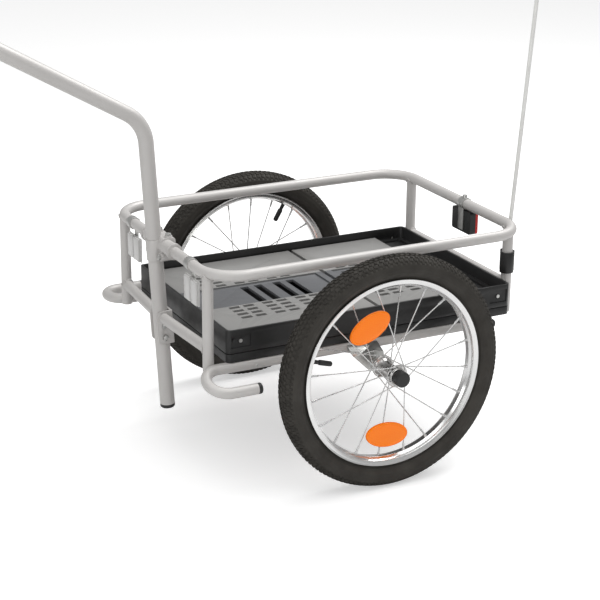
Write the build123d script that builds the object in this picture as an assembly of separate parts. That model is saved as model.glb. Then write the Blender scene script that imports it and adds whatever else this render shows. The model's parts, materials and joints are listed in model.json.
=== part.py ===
"""Cargo bicycle trailer: a tube frame with two 16 inch spoked wheels, a folding crate, a high drawbar.

Everything is modelled in millimetres in the axle frame: the origin is on the ground under the axle,
+X points forward along the drawbar, +Y to the left and +Z up. The last step moves every piece along
X and Y so that the origin is under the centre of the whole trailer's box.
"""
from build123d import *
from math import cos, radians, sin, sqrt, tan
import os

# ---- overall sizes, which the rest follows
tyre_r = 198.0              # outside radius of the 16 x 1.75 tyre
rail_front_x = 283.0        # top rail's centre line in front of the axle
rail_rear_x = -288.0
rail_y = 210.0              # half the top rail's width
rail_z = 377.0              # height of the load rail

# ---- wheels
tyre_width = 44.0
tyre_wall = 3.5
rim_r = tyre_r - 38.5       # rim flange
rim_bed_r = rim_r - 13.5     # innermost radius of the rim
rim_half_width = 14.0
rim_wall = 1.6
wheel_y = rail_y + 57.0     # middle plane of a wheel
spoke_count = 20
spoke_r = 1.0
spoke_lacing = 72.0         # degrees between a spoke's rim hole and its hub hole
spoke_phase = 6.6           # angle of the first rim hole
flange_r = 19.0             # hub flange
flange_hole_r = 16.0        # circle that the spoke heads sit on
flange_offset = 23.0        # hub flange from the wheel's middle plane
flange_thickness = 3.0
hub_body_r = 13.5
hub_end = 27.5              # hub body's end from the wheel's middle plane
bearing_width = 7.0
valve_angle = 16.2
valve_inner_r = rim_bed_r - 35.0
valve_cap_r = 4.75
valve_stem_r = 3.9
reflector_angles = {"left": (-84.5, 62.0), "right": (-158.8, 96.2)}
reflector_radii = (rim_bed_r - 41.0, rim_bed_r - 49.0)
spoke_reflector_length = 76.0
spoke_reflector_height = 42.0
spoke_reflector_thickness = 7.0
right_wheel_turn = 103.8    # how far the right wheel stands turned from the left one

# ---- plug-in axles
axle_r = 6.0
axle_bore_clearance = 0.05
axle_inner_y = wheel_y - 99.0
cap_r = 12.8
cap_length = 12.0
cap_travel = 3.0
cap_stem_r = 2.5
cap_gap = 4.8               # from the hub's end to the cap

# ---- frame tubes
tube_r = 9.0
tube_wall = 1.5
rail_bend_r = 60.0
front_post_y = rail_y - 36.0
rear_post_y = rail_y - 48.0
runner_y = rail_y - 24.0
runner_z = tyre_r + 20.0
front_cross_z = runner_z + 32.0
rear_cross_z = runner_z + 54.0
front_post_bottom_z = runner_z - 6.0
runner_bend_x = rail_front_x - 16.0       # where the hook's bend starts
hook_bend_r = 30.0
hook_end_x = runner_bend_x - 42.0   # open end of the return strand
hook_tilts = {"left": -18.0, "right": -2.0}
rear_member_x = rail_rear_x + 53.0
front_member_x = rail_front_x - 71.0
strap_width = 22.0
strap_thickness = 4.0

# ---- axle carriers
carrier_y = runner_y + 28.0  # inner face of the bracket plate
carrier_plate = 4.0
carrier_end_r = 18.0
carrier_top_z = runner_z - 6.0
carrier_rear_x = -16.0
carrier_front_x = 40.0
receiver_r = 11.5

# ---- drawbar
drawbar_r = 12.5
drawbar_wall = 2.0
foot_x = rail_front_x - 6.0
foot_z = 92.0
drawbar_lean = 3.6          # degrees forward of upright
drawbar_bend_z = rail_z + 203.5
drawbar_bend_r = 65.0
drawbar_climb = 30.0        # degrees above level after the first bend
drawbar_top_z = drawbar_bend_z + 211.5
drawbar_top_bend_r = 260.0
drawbar_end_x = foot_x + 785.0
sleeve_wall = 1.6
sleeve_height = 36.0
sleeve_z = rail_z - 9.0
socket_length = 27.0
socket_wall = 3.0
rail_end_y = 30.0           # where each end of the rail stops inside the casting
bracket_plate = 3.0
bracket_clearance = 0.1
bracket_height = 58.0
bracket_z = front_cross_z - 17.0
bracket_bolt_z = (bracket_z + 5.0, bracket_z - 17.0)
bolt_r = 3.0
bolt_clearance = 0.1
bolt_head_r = 5.2
bolt_head_height = 4.0
end_cap_length = 7.0

# ---- coupling
coupling_sleeve_r = 17.0
coupling_sleeve_length = 42.0
swivel_pin_r = 7.0
swivel_gap = 0.6
pitch_pin_r = 5.0
pitch_x_offset = 34.0       # from the swivel block's rear face to the pitch pin
fork_width = 44.0
fork_wall = 7.0
fork_reach = 14.0
head_height = 46.0
head_r = 17.0
head_reach = 44.0           # from the pitch pin to the hitch bore
hitch_bore_r = 8.0
running_clearance = 0.05

# ---- folding crate, folded flat
crate_length = rail_front_x - rail_rear_x - 41.0
crate_clearance = 0.5       # from the rear posts to the crate
crate_y = 8.0               # middle of the crate, a little left of the frame's middle
crate_half_width = rail_y - 27.0
crate_wall = 4.0
crate_height = 54.0
crate_floor = 4.0
crate_base_height = 14.0
crate_split = 1.5
crate_corner_r = 8.0
panel_thickness = 8.0
panel_depth = 13.0          # panel surface below the crate's rim
panel_side_gap = 3.0
panel_gap_x = (rail_front_x + rail_rear_x) / 2 - 35.0    # middle of the gap between the two panels
panel_gap = 7.0
front_hinge_inset = 12.0
rear_hinge_x = rail_rear_x + 75.0
hinge_pin_r = 2.5
hinge_pin_length = 16.0
leaf_thickness = 6.0
ledge_width = 12.0
ledge_thickness = 4.0
panel_strip = 129.0         # width of the raised strip along each side of a panel
panel_recess = 3.0
panel_plain_end = 8.0       # from the hinge barrel to the recessed middle
panel_free_end = 12.0       # unbroken width at a panel's free end
slot_length = 19.0
slot_width = 9.0
slot_corner_r = 1.5
slot_rows = 4
slot_row_pitch = 16.3
slot_column_pitch = 26.0
slot_group_pitch = 61.0
slot_margin = 8.0           # from the recess's edge to the first row and to the long slots' ends
long_slot_width = 15.0
front_first_group = 72.7    # from the hinge to the first group of slots
rear_first_group = 63.0
recess_width = 34.0
recess_height = 22.0
recess_depth = 2.0
rivet_r = 3.0

# ---- reflectors and flag
front_reflector_y = rail_y - 89.0
front_reflector_width = 52.0
front_reflector_height = 42.0
front_reflector_top_z = rail_z - 23.0
front_reflector_thickness = 7.0
reflector_plate = 1.5
band_wall = 1.5
band_width = 14.0
rear_reflector_y = 20.0
rear_reflector_width = 60.0
rear_reflector_height = 40.0
rear_reflector_top_z = rail_z - 11.0
rear_housing_depth = 11.0
rear_lens_depth = 6.0
flag_rod_r = 3.5
flag_y = rear_post_y - 19.0
flag_lean = 4.4             # degrees rearward of upright
flag_bottom_z = rear_cross_z + 24.0
flag_top_z = 1205.0
flag_line_x = rail_rear_x - 15.0   # the rod's axis at rail height
holder_height = 36.0
pennant_height = 150.0
pennant_length = 200.0
pennant_thickness = 1.2


SIDES = (("left", 1), ("right", -1))


# ---- helpers
def rod(start, end, radius):
    """A solid round bar from one point to another."""
    a, b = Vector(*start), Vector(*end)
    return Solid.make_cylinder(radius, (b - a).length, Plane(origin=a, z_dir=b - a))


def tube(start, end, radius, wall):
    return rod(start, end, radius) - rod(start, end, radius - wall)


def swept(path, radius, wall=0.0):
    """A round bar or tube along a path."""
    section = Circle(radius)
    if wall:
        section = section - Circle(radius - wall)
    return sweep(Plane(origin=path @ 0, z_dir=path % 0) * section, path=path)


def block(x0, x1, y0, y1, z0, z1):
    return Pos(x0, y0, z0) * Box(x1 - x0, y1 - y0, z1 - z0, align=(Align.MIN, Align.MIN, Align.MIN))


def mirrored(shape):
    return mirror(shape, about=Plane.XZ)


def group(*shapes):
    """Separate solids kept in one sub-part."""
    solids = [solid for shape in shapes for solid in shape.solids()]
    return Compound(children=solids)


def about_axle(shape, degrees_turned):
    """Turn a piece about the axle, from +X towards +Z for a positive angle."""
    return Pos(0, 0, tyre_r) * Rot(0, -degrees_turned, 0) * Pos(0, 0, -tyre_r) * shape


def rail_x(y, front):
    """X of the top rail's centre line at a given Y, on its front or rear run."""
    end = rail_front_x if front else rail_rear_x
    into_bend = abs(y) - (rail_y - rail_bend_r)
    if into_bend <= 0:
        return end
    drop = rail_bend_r - sqrt(rail_bend_r**2 - into_bend**2)
    return end - drop if front else end + drop


def drawbar_x(z):
    """X of the drawbar's centre line on its lower straight run."""
    return foot_x + (z - foot_z) * tan(radians(drawbar_lean))


def drawbar_plane(z):
    """A plane on the drawbar's axis, with its Z along the tube and its X forward."""
    lean = radians(drawbar_lean)
    return Plane(origin=(drawbar_x(z), 0, z), x_dir=(cos(lean), 0, -sin(lean)),
                 z_dir=(sin(lean), 0, cos(lean)))


front_post_x = rail_x(front_post_y, True)
rear_post_x = rail_x(rear_post_y, False)
crate_rear_x = rear_post_x + tube_r + crate_clearance
crate_front_x = crate_rear_x + crate_length
crate_bottom_z = runner_z + tube_r
crate_top_z = crate_bottom_z + crate_height
upper_bottom_z = crate_bottom_z + crate_base_height + crate_split
panel_top_z = crate_top_z - panel_depth
panel_mid_z = panel_top_z - panel_thickness / 2
front_hinge_x = crate_front_x - front_hinge_inset
axle_outer_y = wheel_y + hub_end + cap_gap


# ---- frame
def rail_path():
    y0 = rail_end_y
    corners = [(rail_front_x, y0), (rail_front_x, rail_y), (rail_rear_x, rail_y),
               (rail_rear_x, -rail_y), (rail_front_x, -rail_y), (rail_front_x, -y0)]
    return FilletPolyline(*[(x, y, rail_z) for x, y in corners], radius=rail_bend_r)


def top_rail():
    return swept(rail_path(), tube_r, tube_wall)


def runner_path(side):
    """The left runner, from the open end of its hook, round the bend and back to the rear."""
    tilt = Plane(origin=(0, runner_y, runner_z), x_dir=(1, 0, 0),
                 z_dir=(0, -sin(radians(hook_tilts[side])), cos(radians(hook_tilts[side]))))
    across = 2 * hook_bend_r
    hook = Line((hook_end_x, across), (runner_bend_x, across))
    bend = ThreePointArc((runner_bend_x, across), (runner_bend_x + hook_bend_r, hook_bend_r),
                         (runner_bend_x, 0))
    run = Line((runner_bend_x, 0), (rear_member_x, 0))
    return tilt * (Curve() + [hook, bend, run]).wires()[0]


def runner_bar(side):
    return swept(runner_path(side), tube_r)


def member_bar(x, half_length):
    return rod((x, -half_length, runner_z), (x, half_length, runner_z), tube_r)


def runner(side):
    bar = swept(runner_path(side), tube_r, tube_wall)
    return bar - member_bar(rear_member_x, runner_y + 2 * tube_r)


def rear_member():
    half = runner_y + tube_r
    x = rear_member_x
    return tube((x, -half, runner_z), (x, half, runner_z), tube_r, tube_wall)


def cross_member(x):
    member = tube((x, -runner_y, runner_z), (x, runner_y, runner_z), tube_r, tube_wall)
    return member - runner_bar("left") - mirrored(runner_bar("right"))


def front_posts():
    posts = []
    for (name, sign), runner_side in zip(SIDES, (runner_bar("left"), mirrored(runner_bar("right")))):
        x, y = front_post_x, sign * front_post_y
        post = tube((x, y, front_post_bottom_z), (x, y, rail_z), tube_r, tube_wall)
        bend = Pos(rail_front_x - rail_bend_r, sign * (rail_y - rail_bend_r), rail_z) * Torus(
            rail_bend_r, tube_r)
        posts.append(largest(post - bend - runner_side))
    return group(*posts)


def rear_posts():
    posts = []
    for _, sign in SIDES:
        x, y = rear_post_x, sign * rear_post_y
        post = tube((x, y, crate_bottom_z - strap_thickness), (x, y, rail_z), tube_r, tube_wall)
        posts.append(largest(post - swept(rail_path(), tube_r)))
    return group(*posts)


def largest(shape):
    return max(shape.solids(), key=lambda solid: solid.volume)


def post_bar(front, sign):
    x, y = (front_post_x, front_post_y) if front else (rear_post_x, rear_post_y)
    return rod((x, sign * y, crate_bottom_z - 3 * tube_r), (x, sign * y, rail_z), tube_r)


def front_cross_rail():
    """Two halves, from each post to the drawbar's lower bracket."""
    halves = []
    inner = drawbar_r + bracket_clearance + bracket_plate
    for _, sign in SIDES:
        start = (front_post_x, sign * inner, front_cross_z)
        end = (front_post_x, sign * front_post_y, front_cross_z)
        halves.append(largest(tube(start, end, tube_r, tube_wall) - post_bar(True, sign)))
    return group(*halves)


def rear_cross_rail():
    rail = tube((rear_post_x, -rear_post_y, rear_cross_z), (rear_post_x, rear_post_y, rear_cross_z),
                tube_r, tube_wall)
    return largest(rail - post_bar(False, 1) - post_bar(False, -1))


def rear_straps():
    """Flat straps under the crate, from the rear posts to the rear cross member."""
    straps = []
    for _, sign in SIDES:
        y = sign * rear_post_y
        strap = block(rear_post_x, rear_member_x, y - strap_width / 2, y + strap_width / 2,
                      crate_bottom_z - strap_thickness, crate_bottom_z)
        straps.append(largest(strap - post_bar(False, sign) - member_bar(rear_member_x, runner_y)))
    return group(*straps)


def end_cap(plane, radius, wall):
    """A moulded plug: a short skirt inside the tube and a domed head that covers its end."""
    skirt = Cylinder(radius - wall, end_cap_length * 1.5, align=(Align.CENTER, Align.CENTER, Align.MAX))
    head = Cylinder(radius, end_cap_length, align=(Align.CENTER, Align.CENTER, Align.MIN))
    head = fillet(head.edges().group_by(Axis.Z)[-1], radius * 0.25)
    return plane * (skirt + head)


def tube_end_caps():
    caps = []
    for name, sign in SIDES:
        path = runner_path(name)
        plug = end_cap(Plane(origin=path @ 0, z_dir=(path % 0) * -1), tube_r, tube_wall)
        caps.append(plug if sign > 0 else mirrored(plug))
    for _, sign in SIDES:
        start = (rear_member_x, sign * (runner_y + tube_r), runner_z)
        caps.append(end_cap(Plane(origin=start, z_dir=(0, sign, 0)), tube_r, tube_wall))
    foot = drawbar_plane(foot_z)
    caps.append(end_cap(Plane(origin=foot.origin, z_dir=foot.z_dir * -1), drawbar_r, drawbar_wall))
    return group(*caps)


def axle_carrier():
    """A bracket plate that hangs from the left runner, with the tube that receives the axle."""
    y0, y1 = carrier_y, carrier_y + carrier_plate
    face = Plane(origin=(0, y1, 0), x_dir=(1, 0, 0), z_dir=(0, -1, 0))
    outline = make_hull(
        (Pos(0, tyre_r) * Circle(carrier_end_r)).edges()
        + Polyline((carrier_rear_x, carrier_top_z), (carrier_front_x, carrier_top_z)).edges()
    )
    plate = extrude(face * outline, carrier_plate)
    outer = runner_y + tube_r
    lean_section = Polyline((y0, carrier_top_z), (y1, carrier_top_z), (outer, runner_z + 5),
                            (outer - 5, runner_z + 5), (outer - 5, runner_z), close=True)
    side_view = Plane(origin=(carrier_rear_x, 0, 0), x_dir=(0, 1, 0), z_dir=(1, 0, 0))
    lean = extrude(side_view * make_face(lean_section), carrier_front_x - carrier_rear_x)
    receiver = rod((0, axle_inner_y, tyre_r), (0, y1, tyre_r), receiver_r)
    carrier = plate + lean + receiver
    carrier -= rod((0, axle_inner_y - 1, tyre_r), (0, y1 + 1, tyre_r), axle_r + axle_bore_clearance)
    carrier -= rod((rear_member_x, runner_y, runner_z), (runner_bend_x, runner_y, runner_z), tube_r)
    carrier -= member_bar(0, runner_y)
    return largest(carrier)


# ---- drawbar and its two joints to the frame
def drawbar_path():
    x1 = drawbar_x(drawbar_bend_z)
    x2 = x1 + (drawbar_top_z - drawbar_bend_z) / tan(radians(drawbar_climb))
    points = [(foot_x, 0, foot_z), (x1, 0, drawbar_bend_z), (x2, 0, drawbar_top_z),
              (drawbar_end_x, 0, drawbar_top_z)]
    return FilletPolyline(*points, radius=[drawbar_bend_r, drawbar_top_bend_r])


def drawbar_tube():
    bar = swept(drawbar_path(), drawbar_r, drawbar_wall)
    for z in bracket_bolt_z:
        hole = rod((drawbar_x(z), -2 * drawbar_r, z), (drawbar_x(z), 2 * drawbar_r, z),
                   bolt_r + bolt_clearance)
        bar -= hole
    return bar


def lower_bracket():
    """A U of plate round the back of the drawbar, welded between the front cross rail's halves."""
    inner = drawbar_r + bracket_clearance
    outer = inner + bracket_plate
    body = Box(outer + drawbar_r, 2 * outer, bracket_height, align=(Align.MIN, Align.CENTER, Align.CENTER))
    body = Pos(-outer, 0, 0) * body
    body = fillet(body.edges().filter_by(Axis.Y).group_by(Axis.X)[-1], 9.0)
    slot = Box(2 * (outer + drawbar_r), 2 * inner, bracket_height + 2,
               align=(Align.MIN, Align.CENTER, Align.CENTER))
    bracket = drawbar_plane(bracket_z) * (body - Pos(-inner, 0, 0) * slot)
    for z in bracket_bolt_z:
        bracket -= rod((drawbar_x(z), -2 * outer, z), (drawbar_x(z), 2 * outer, z),
                       bolt_r + bolt_clearance)
    return bracket


def hexagon_head(start, direction, height, radius=bolt_head_r):
    plane = Plane(origin=start, z_dir=direction)
    return extrude(plane * RegularPolygon(radius, 6), height)


def bracket_bolts():
    """Through bolts across the drawbar, each with its nut."""
    outer = drawbar_r + bracket_clearance + bracket_plate
    pieces = []
    for z in bracket_bolt_z:
        x = drawbar_x(z)
        shank_end = -outer - bolt_head_height - 2.0
        bolt = hexagon_head((x, outer, z), (0, 1, 0), bolt_head_height)
        bolt += rod((x, outer, z), (x, shank_end, z), bolt_r)
        nut = hexagon_head((x, -outer, z), (0, -1, 0), bolt_head_height)
        nut -= rod((x, -outer + 1, z), (x, shank_end, z), bolt_r + bolt_clearance / 2)
        pieces += [bolt, nut]
    return group(*pieces)


def joint_screws_places():
    """Start point, direction and length of each screw in the rail joint."""
    top = rail_z + tube_r + socket_wall + 4.0
    nose = rail_front_x + tube_r + socket_wall
    places = []
    for _, sign in SIDES:
        places.append(((rail_front_x - 5.0, sign * 18.0, top), (0, 0, -1), 14.0))
        places.append(((nose, sign * 24.0, sleeve_z - 8.0), (-1, 0, 0), 12.0))
    return places


def rail_joint():
    """The casting that joins the two ends of the rail to the drawbar."""
    outer = drawbar_r + sleeve_wall
    plane = drawbar_plane(sleeve_z)
    sleeve = plane * Cylinder(outer, sleeve_height)
    half = rail_end_y + socket_length
    barrel_r = tube_r + socket_wall
    barrel = rod((rail_front_x, -half, rail_z), (rail_front_x, half, rail_z), barrel_r)
    collars = [rod((rail_front_x, sign * (half - 6), rail_z), (rail_front_x, sign * half, rail_z),
                   barrel_r + 1.5) for _, sign in SIDES]
    core = block(rail_front_x - barrel_r - 3, rail_front_x + barrel_r - 2, -25, 25,
                 sleeve_z - sleeve_height / 2 + 3, rail_z + barrel_r + 2)
    core = fillet(core.edges().filter_by(Axis.Y), 5.0)
    bosses = []
    for start, direction, length in joint_screws_places():
        end = Vector(*start) + Vector(*direction) * (length + 2)
        bosses.append(rod(start, end, bolt_head_r + 1.5))
    casting = barrel + collars + core + bosses + sleeve
    for _, sign in SIDES:
        casting -= rod((rail_front_x, sign * rail_end_y, rail_z),
                       (rail_front_x, sign * (half + 1), rail_z), tube_r)
    casting -= plane * Cylinder(drawbar_r, 3 * sleeve_height)
    for start, direction, length in joint_screws_places():
        end = Vector(*start) + Vector(*direction) * length
        casting -= rod(start, end, bolt_r)
    casting -= swept(rail_path(), tube_r)
    return largest(casting)


def rail_joint_screws():
    screws = []
    for start, direction, length in joint_screws_places():
        end = Vector(*start) + Vector(*direction) * length
        head = hexagon_head(start, tuple(-c for c in direction), bolt_head_height)
        screw = head + rod(start, end, bolt_r)
        screws.append(largest(screw - drawbar_plane(sleeve_z) * Cylinder(drawbar_r, 3 * sleeve_height)
                              - swept(rail_path(), tube_r)))
    return group(*screws)


# ---- coupling at the drawbar's end
swivel_face_x = drawbar_end_x + coupling_sleeve_length * 0.45
swivel_rear_x = swivel_face_x + swivel_gap
pitch_x = swivel_rear_x + pitch_x_offset
hitch_x = pitch_x + head_reach
swivel_length = 20.0


def coupling_socket():
    """Fixed on the drawbar: a sleeve over its end, with the swivel pin standing out of its face."""
    z = drawbar_top_z
    sleeve_start = swivel_face_x - coupling_sleeve_length
    body = rod((sleeve_start, 0, z), (swivel_face_x, 0, z), coupling_sleeve_r)
    body = chamfer(body.edges().filter_by(GeomType.CIRCLE), 1.5)
    body -= rod((sleeve_start - 1, 0, z), (drawbar_end_x, 0, z), drawbar_r)
    body += rod((swivel_face_x - 1, 0, z), (swivel_rear_x + swivel_length + swivel_gap, 0, z),
                swivel_pin_r)
    head_start = swivel_rear_x + swivel_length + swivel_gap
    return body + rod((head_start, 0, z), (head_start + 3.0, 0, z), swivel_pin_r + 3.0)


def swivel_fork():
    """Turns on the swivel pin; its two ears carry the pitch pin."""
    z = drawbar_top_z
    base = rod((swivel_rear_x, 0, z), (swivel_rear_x + swivel_length, 0, z), coupling_sleeve_r)
    ear_r = fork_reach
    ears = []
    for _, sign in SIDES:
        y0 = sign * (fork_width / 2 - fork_wall)
        y1 = sign * fork_width / 2
        low, high = min(y0, y1), max(y0, y1)
        ear = block(swivel_rear_x, pitch_x, low, high, z - ear_r, z + ear_r)
        ears.append(ear + rod((pitch_x, low, z), (pitch_x, high, z), ear_r))
    bridge = block(swivel_rear_x, swivel_rear_x + swivel_length, -fork_width / 2, fork_width / 2,
                   z - ear_r, z + ear_r)
    fork = base + bridge + ears
    fork -= rod((swivel_rear_x - 1, 0, z), (swivel_rear_x + swivel_length + 1, 0, z),
                swivel_pin_r + running_clearance)
    fork -= rod((pitch_x, -fork_width, z), (pitch_x, fork_width, z), pitch_pin_r)
    return fork


def pitch_pin():
    z = drawbar_top_z
    half = fork_width / 2
    pin = rod((pitch_x, -half - 5.0, z), (pitch_x, half, z), pitch_pin_r)
    pin += rod((pitch_x, half, z), (pitch_x, half + 4.0, z), pitch_pin_r + 3.0)
    nut = hexagon_head((pitch_x, -half, z), (0, -1, 0), 5.0, pitch_pin_r + 4.0)
    return pin + nut


def coupling_head():
    """The eye that drops over an upright pin on the bicycle."""
    z = drawbar_top_z
    tongue_half = fork_width / 2 - fork_wall - swivel_gap
    tongue_r = pitch_x - (swivel_rear_x + swivel_length + 6.0)
    tongue = rod((pitch_x, -tongue_half, z), (pitch_x, tongue_half, z), tongue_r)
    arm = block(pitch_x, hitch_x, -tongue_half, tongue_half, z - tongue_r, z + tongue_r)
    barrel = rod((hitch_x, 0, z - head_height / 2), (hitch_x, 0, z + head_height / 2), head_r)
    barrel = chamfer(barrel.edges().filter_by(GeomType.CIRCLE), 2.0)
    head = tongue + arm + barrel
    head -= rod((pitch_x, -fork_width, z), (pitch_x, fork_width, z), pitch_pin_r + running_clearance)
    head -= rod((hitch_x, 0, z - head_height), (hitch_x, 0, z + head_height), hitch_bore_r)
    return head


# ---- wheels, built for the left side with the axle along Y
def wheel_ring(points):
    """Turn a section, given as (radius, distance from the middle plane), about the axle."""
    section = make_face(Polyline(*[(0, wheel_y + across, tyre_r + radius) for radius, across in points],
                                 close=True))
    return revolve(section, Axis((0, wheel_y, tyre_r), (0, 1, 0)), 360)


def rim():
    """A single-wall rim: two flared flanges, sides that slope inward and a shallow spoke bed."""
    outer = [(rim_r, rim_half_width), (rim_r - 2.5, rim_half_width - rim_wall),
             (rim_r - 8.0, rim_half_width - rim_wall - 1.5), (rim_bed_r + 4.5, 7.0),
             (rim_bed_r + rim_wall, 4.0)]
    inner = [(rim_bed_r, 4.6), (rim_bed_r + 3.2, 8.2), (rim_r - 8.5, rim_half_width - 1.4),
             (rim_r - 3.0, rim_half_width)]
    points = outer + [(r, -a) for r, a in reversed(outer)]
    points += [(rim_r - 1.0, -rim_half_width - 1.2)]
    points += [(r, -a) for r, a in reversed(inner)] + inner + [(rim_r - 1.0, rim_half_width + 1.2)]
    return wheel_ring(points)


def tyre():
    """An open casing: beads inside the rim flanges, bulging sidewalls and a crowned tread."""
    half = tyre_width / 2
    bead = rim_half_width - rim_wall - 1.7
    inside = half - tyre_wall
    outer = [(rim_r - 7.0, bead), (rim_r + 1.0, bead + 0.6), (rim_r + 9.0, half - 2.5),
             (rim_r + 19.0, half), (rim_r + 28.0, half - 2.0), (tyre_r - 5.0, half - 6.5),
             (tyre_r - 1.5, half - 13.0), (tyre_r, half - 22.0)]
    inner = [(tyre_r - 5.5, 0.0), (tyre_r - 7.0, half - 14.0), (tyre_r - 11.0, half - 8.5),
             (rim_r + 26.0, inside - 2.0), (rim_r + 18.0, inside), (rim_r + 9.5, inside - 3.0),
             (rim_r + 1.5, bead - 3.2), (rim_r - 7.0, bead - 3.0)]
    section = outer[:-1] + [(tyre_r, 0.0)] + [(r, -a) for r, a in reversed(outer[:-1])]
    section += [(r, -a) for r, a in reversed(inner[1:])] + inner
    return wheel_ring(section)


def inner_tube():
    """The air tube inside the casing."""
    radius = (tyre_width - 2 * tyre_wall) / 2 - 4.0
    centre = rim_r + 15.5
    section = Plane(origin=(0, wheel_y, tyre_r + centre), x_dir=(0, 1, 0), z_dir=(1, 0, 0))
    ring = section * (Circle(radius) - Circle(radius - 1.2))
    return revolve(ring, Axis((0, wheel_y, tyre_r), (0, 1, 0)), 360)


def spoke_ends(index):
    """Hub and rim ends of one spoke: its flange, its lacing direction and its place in turn."""
    angle = radians(spoke_phase + index * 360.0 / spoke_count)
    side = 1 if index % 2 == 0 else -1
    leads = 1 if (index // 2) % 2 == 0 else -1
    hub_angle = angle + leads * radians(spoke_lacing)
    face = flange_offset + leads * (flange_thickness / 2 + spoke_r)
    hub_end_point = (flange_hole_r * cos(hub_angle), wheel_y + side * face,
                     tyre_r + flange_hole_r * sin(hub_angle))
    rim_r_here = rim_bed_r + 0.5
    rim_point = (rim_r_here * cos(angle), wheel_y + side * 1.5, tyre_r + rim_r_here * sin(angle))
    return Vector(*hub_end_point), Vector(*rim_point)


def spoke(index, radius=spoke_r):
    hub_point, rim_point = spoke_ends(index)
    return rod(tuple(hub_point), tuple(rim_point), radius)


def spokes():
    """Spokes with their nipples, trimmed where they meet the rim bed."""
    pieces = []
    bed = rod((0, wheel_y - hub_end, tyre_r), (0, wheel_y + hub_end, tyre_r), rim_bed_r)
    bed -= hub()
    for index in range(spoke_count):
        hub_point, rim_point = spoke_ends(index)
        along = (rim_point - hub_point).normalized()
        nipple_start = rim_point - along * 13.0
        nipple = rod(tuple(nipple_start), tuple(rim_point), spoke_r + 0.9)
        pieces.append(largest((spoke(index) + nipple) & bed))
    return group(*pieces)


def hub():
    """Hub shell with its two spoke flanges and a bearing seat in each end."""
    y_low, y_high = wheel_y - hub_end, wheel_y + hub_end
    shell = rod((0, y_low, tyre_r), (0, y_high, tyre_r), hub_body_r)
    for sign in (1, -1):
        middle = wheel_y + sign * flange_offset
        shell += rod((0, middle - flange_thickness / 2, tyre_r),
                     (0, middle + flange_thickness / 2, tyre_r), flange_r)
    shell -= rod((0, y_low - 1, tyre_r), (0, y_high + 1, tyre_r), axle_r + 2.5)
    for y0, y1 in ((y_low - 1, y_low + bearing_width), (y_high - bearing_width, y_high + 1)):
        shell -= rod((0, y0, tyre_r), (0, y1, tyre_r), hub_body_r - 2.5)
    return shell


def hub_bearings():
    rings = []
    for y0 in (wheel_y - hub_end, wheel_y + hub_end - bearing_width):
        ring = rod((0, y0, tyre_r), (0, y0 + bearing_width, tyre_r), hub_body_r - 2.5)
        rings.append(ring - rod((0, y0 - 1, tyre_r), (0, y0 + bearing_width + 1, tyre_r),
                                axle_r + running_clearance))
    return group(*rings)


def valve():
    stem = Pos(0, wheel_y, tyre_r) * rod((rim_bed_r + 8.0, 0, 0), (valve_inner_r + 22.0, 0, 0),
                                         valve_stem_r)
    cap = Pos(0, wheel_y, tyre_r) * rod((valve_inner_r + 24.0, 0, 0), (valve_inner_r, 0, 0),
                                        valve_cap_r)
    cap = fillet(cap.edges().group_by(Axis.X)[0], 1.8)
    return about_axle(stem + cap, valve_angle)


def valve_hole():
    hole = rod((valve_inner_r, wheel_y, tyre_r), (rim_r, wheel_y, tyre_r), valve_stem_r)
    return about_axle(hole, valve_angle)


def spoke_reflector(angle, radius):
    """An oval reflector clipped over the outer spokes, long axis along the turning direction."""
    face_y = wheel_y + 16.0
    plane = Plane(origin=(radius, face_y, tyre_r), x_dir=(0, 0, 1), z_dir=(0, 1, 0))
    oval = plane * Ellipse(spoke_reflector_length / 2, spoke_reflector_height / 2)
    body = extrude(oval, -spoke_reflector_thickness)
    body = chamfer(body.faces().sort_by(Axis.Y)[-1].edges(), 1.2)
    body = about_axle(body, angle)
    for index in range(spoke_count):
        body -= spoke(index, spoke_r + 0.15)
    return largest(body)


def spoke_reflectors(side):
    return group(*[spoke_reflector(a, r) for a, r in zip(reflector_angles[side], reflector_radii)])


def axle():
    """The plug-in axle: a hollow pin through the hub, held in the carrier's receiver."""
    pin = rod((0, axle_inner_y + 2, tyre_r), (0, axle_outer_y - cap_gap + 1.2, tyre_r), axle_r)
    collar = rod((0, wheel_y + hub_end + 0.2, tyre_r), (0, wheel_y + hub_end + 1.2, tyre_r),
                 axle_r + 2.0)
    pin += collar
    bore = rod((0, axle_inner_y + 20, tyre_r), (0, axle_outer_y, tyre_r),
               cap_stem_r + running_clearance)
    return pin - bore


def release_cap():
    """The push button that frees the axle, with its stem in the axle's bore."""
    y0 = axle_outer_y
    cap = rod((0, y0, tyre_r), (0, y0 + cap_length, tyre_r), cap_r)
    cap = fillet(cap.edges().filter_by(GeomType.CIRCLE).sort_by(Axis.Y)[-1], 2.5)
    return cap + rod((0, y0, tyre_r), (0, axle_inner_y + 20 + cap_travel + 1.0, tyre_r), cap_stem_r)


# ---- folding crate
def crate_ring(z0, z1, wall, inset=0.0):
    length = crate_front_x - crate_rear_x - 2 * inset
    width = 2 * (crate_half_width - inset)
    centre = ((crate_front_x + crate_rear_x) / 2, crate_y)
    outline = RectangleRounded(length, width, crate_corner_r)
    hollow = RectangleRounded(length - 2 * wall, width - 2 * wall, crate_corner_r - wall / 2)
    return Pos(centre[0], centre[1], z0) * extrude(outline - hollow, z1 - z0)


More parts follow.
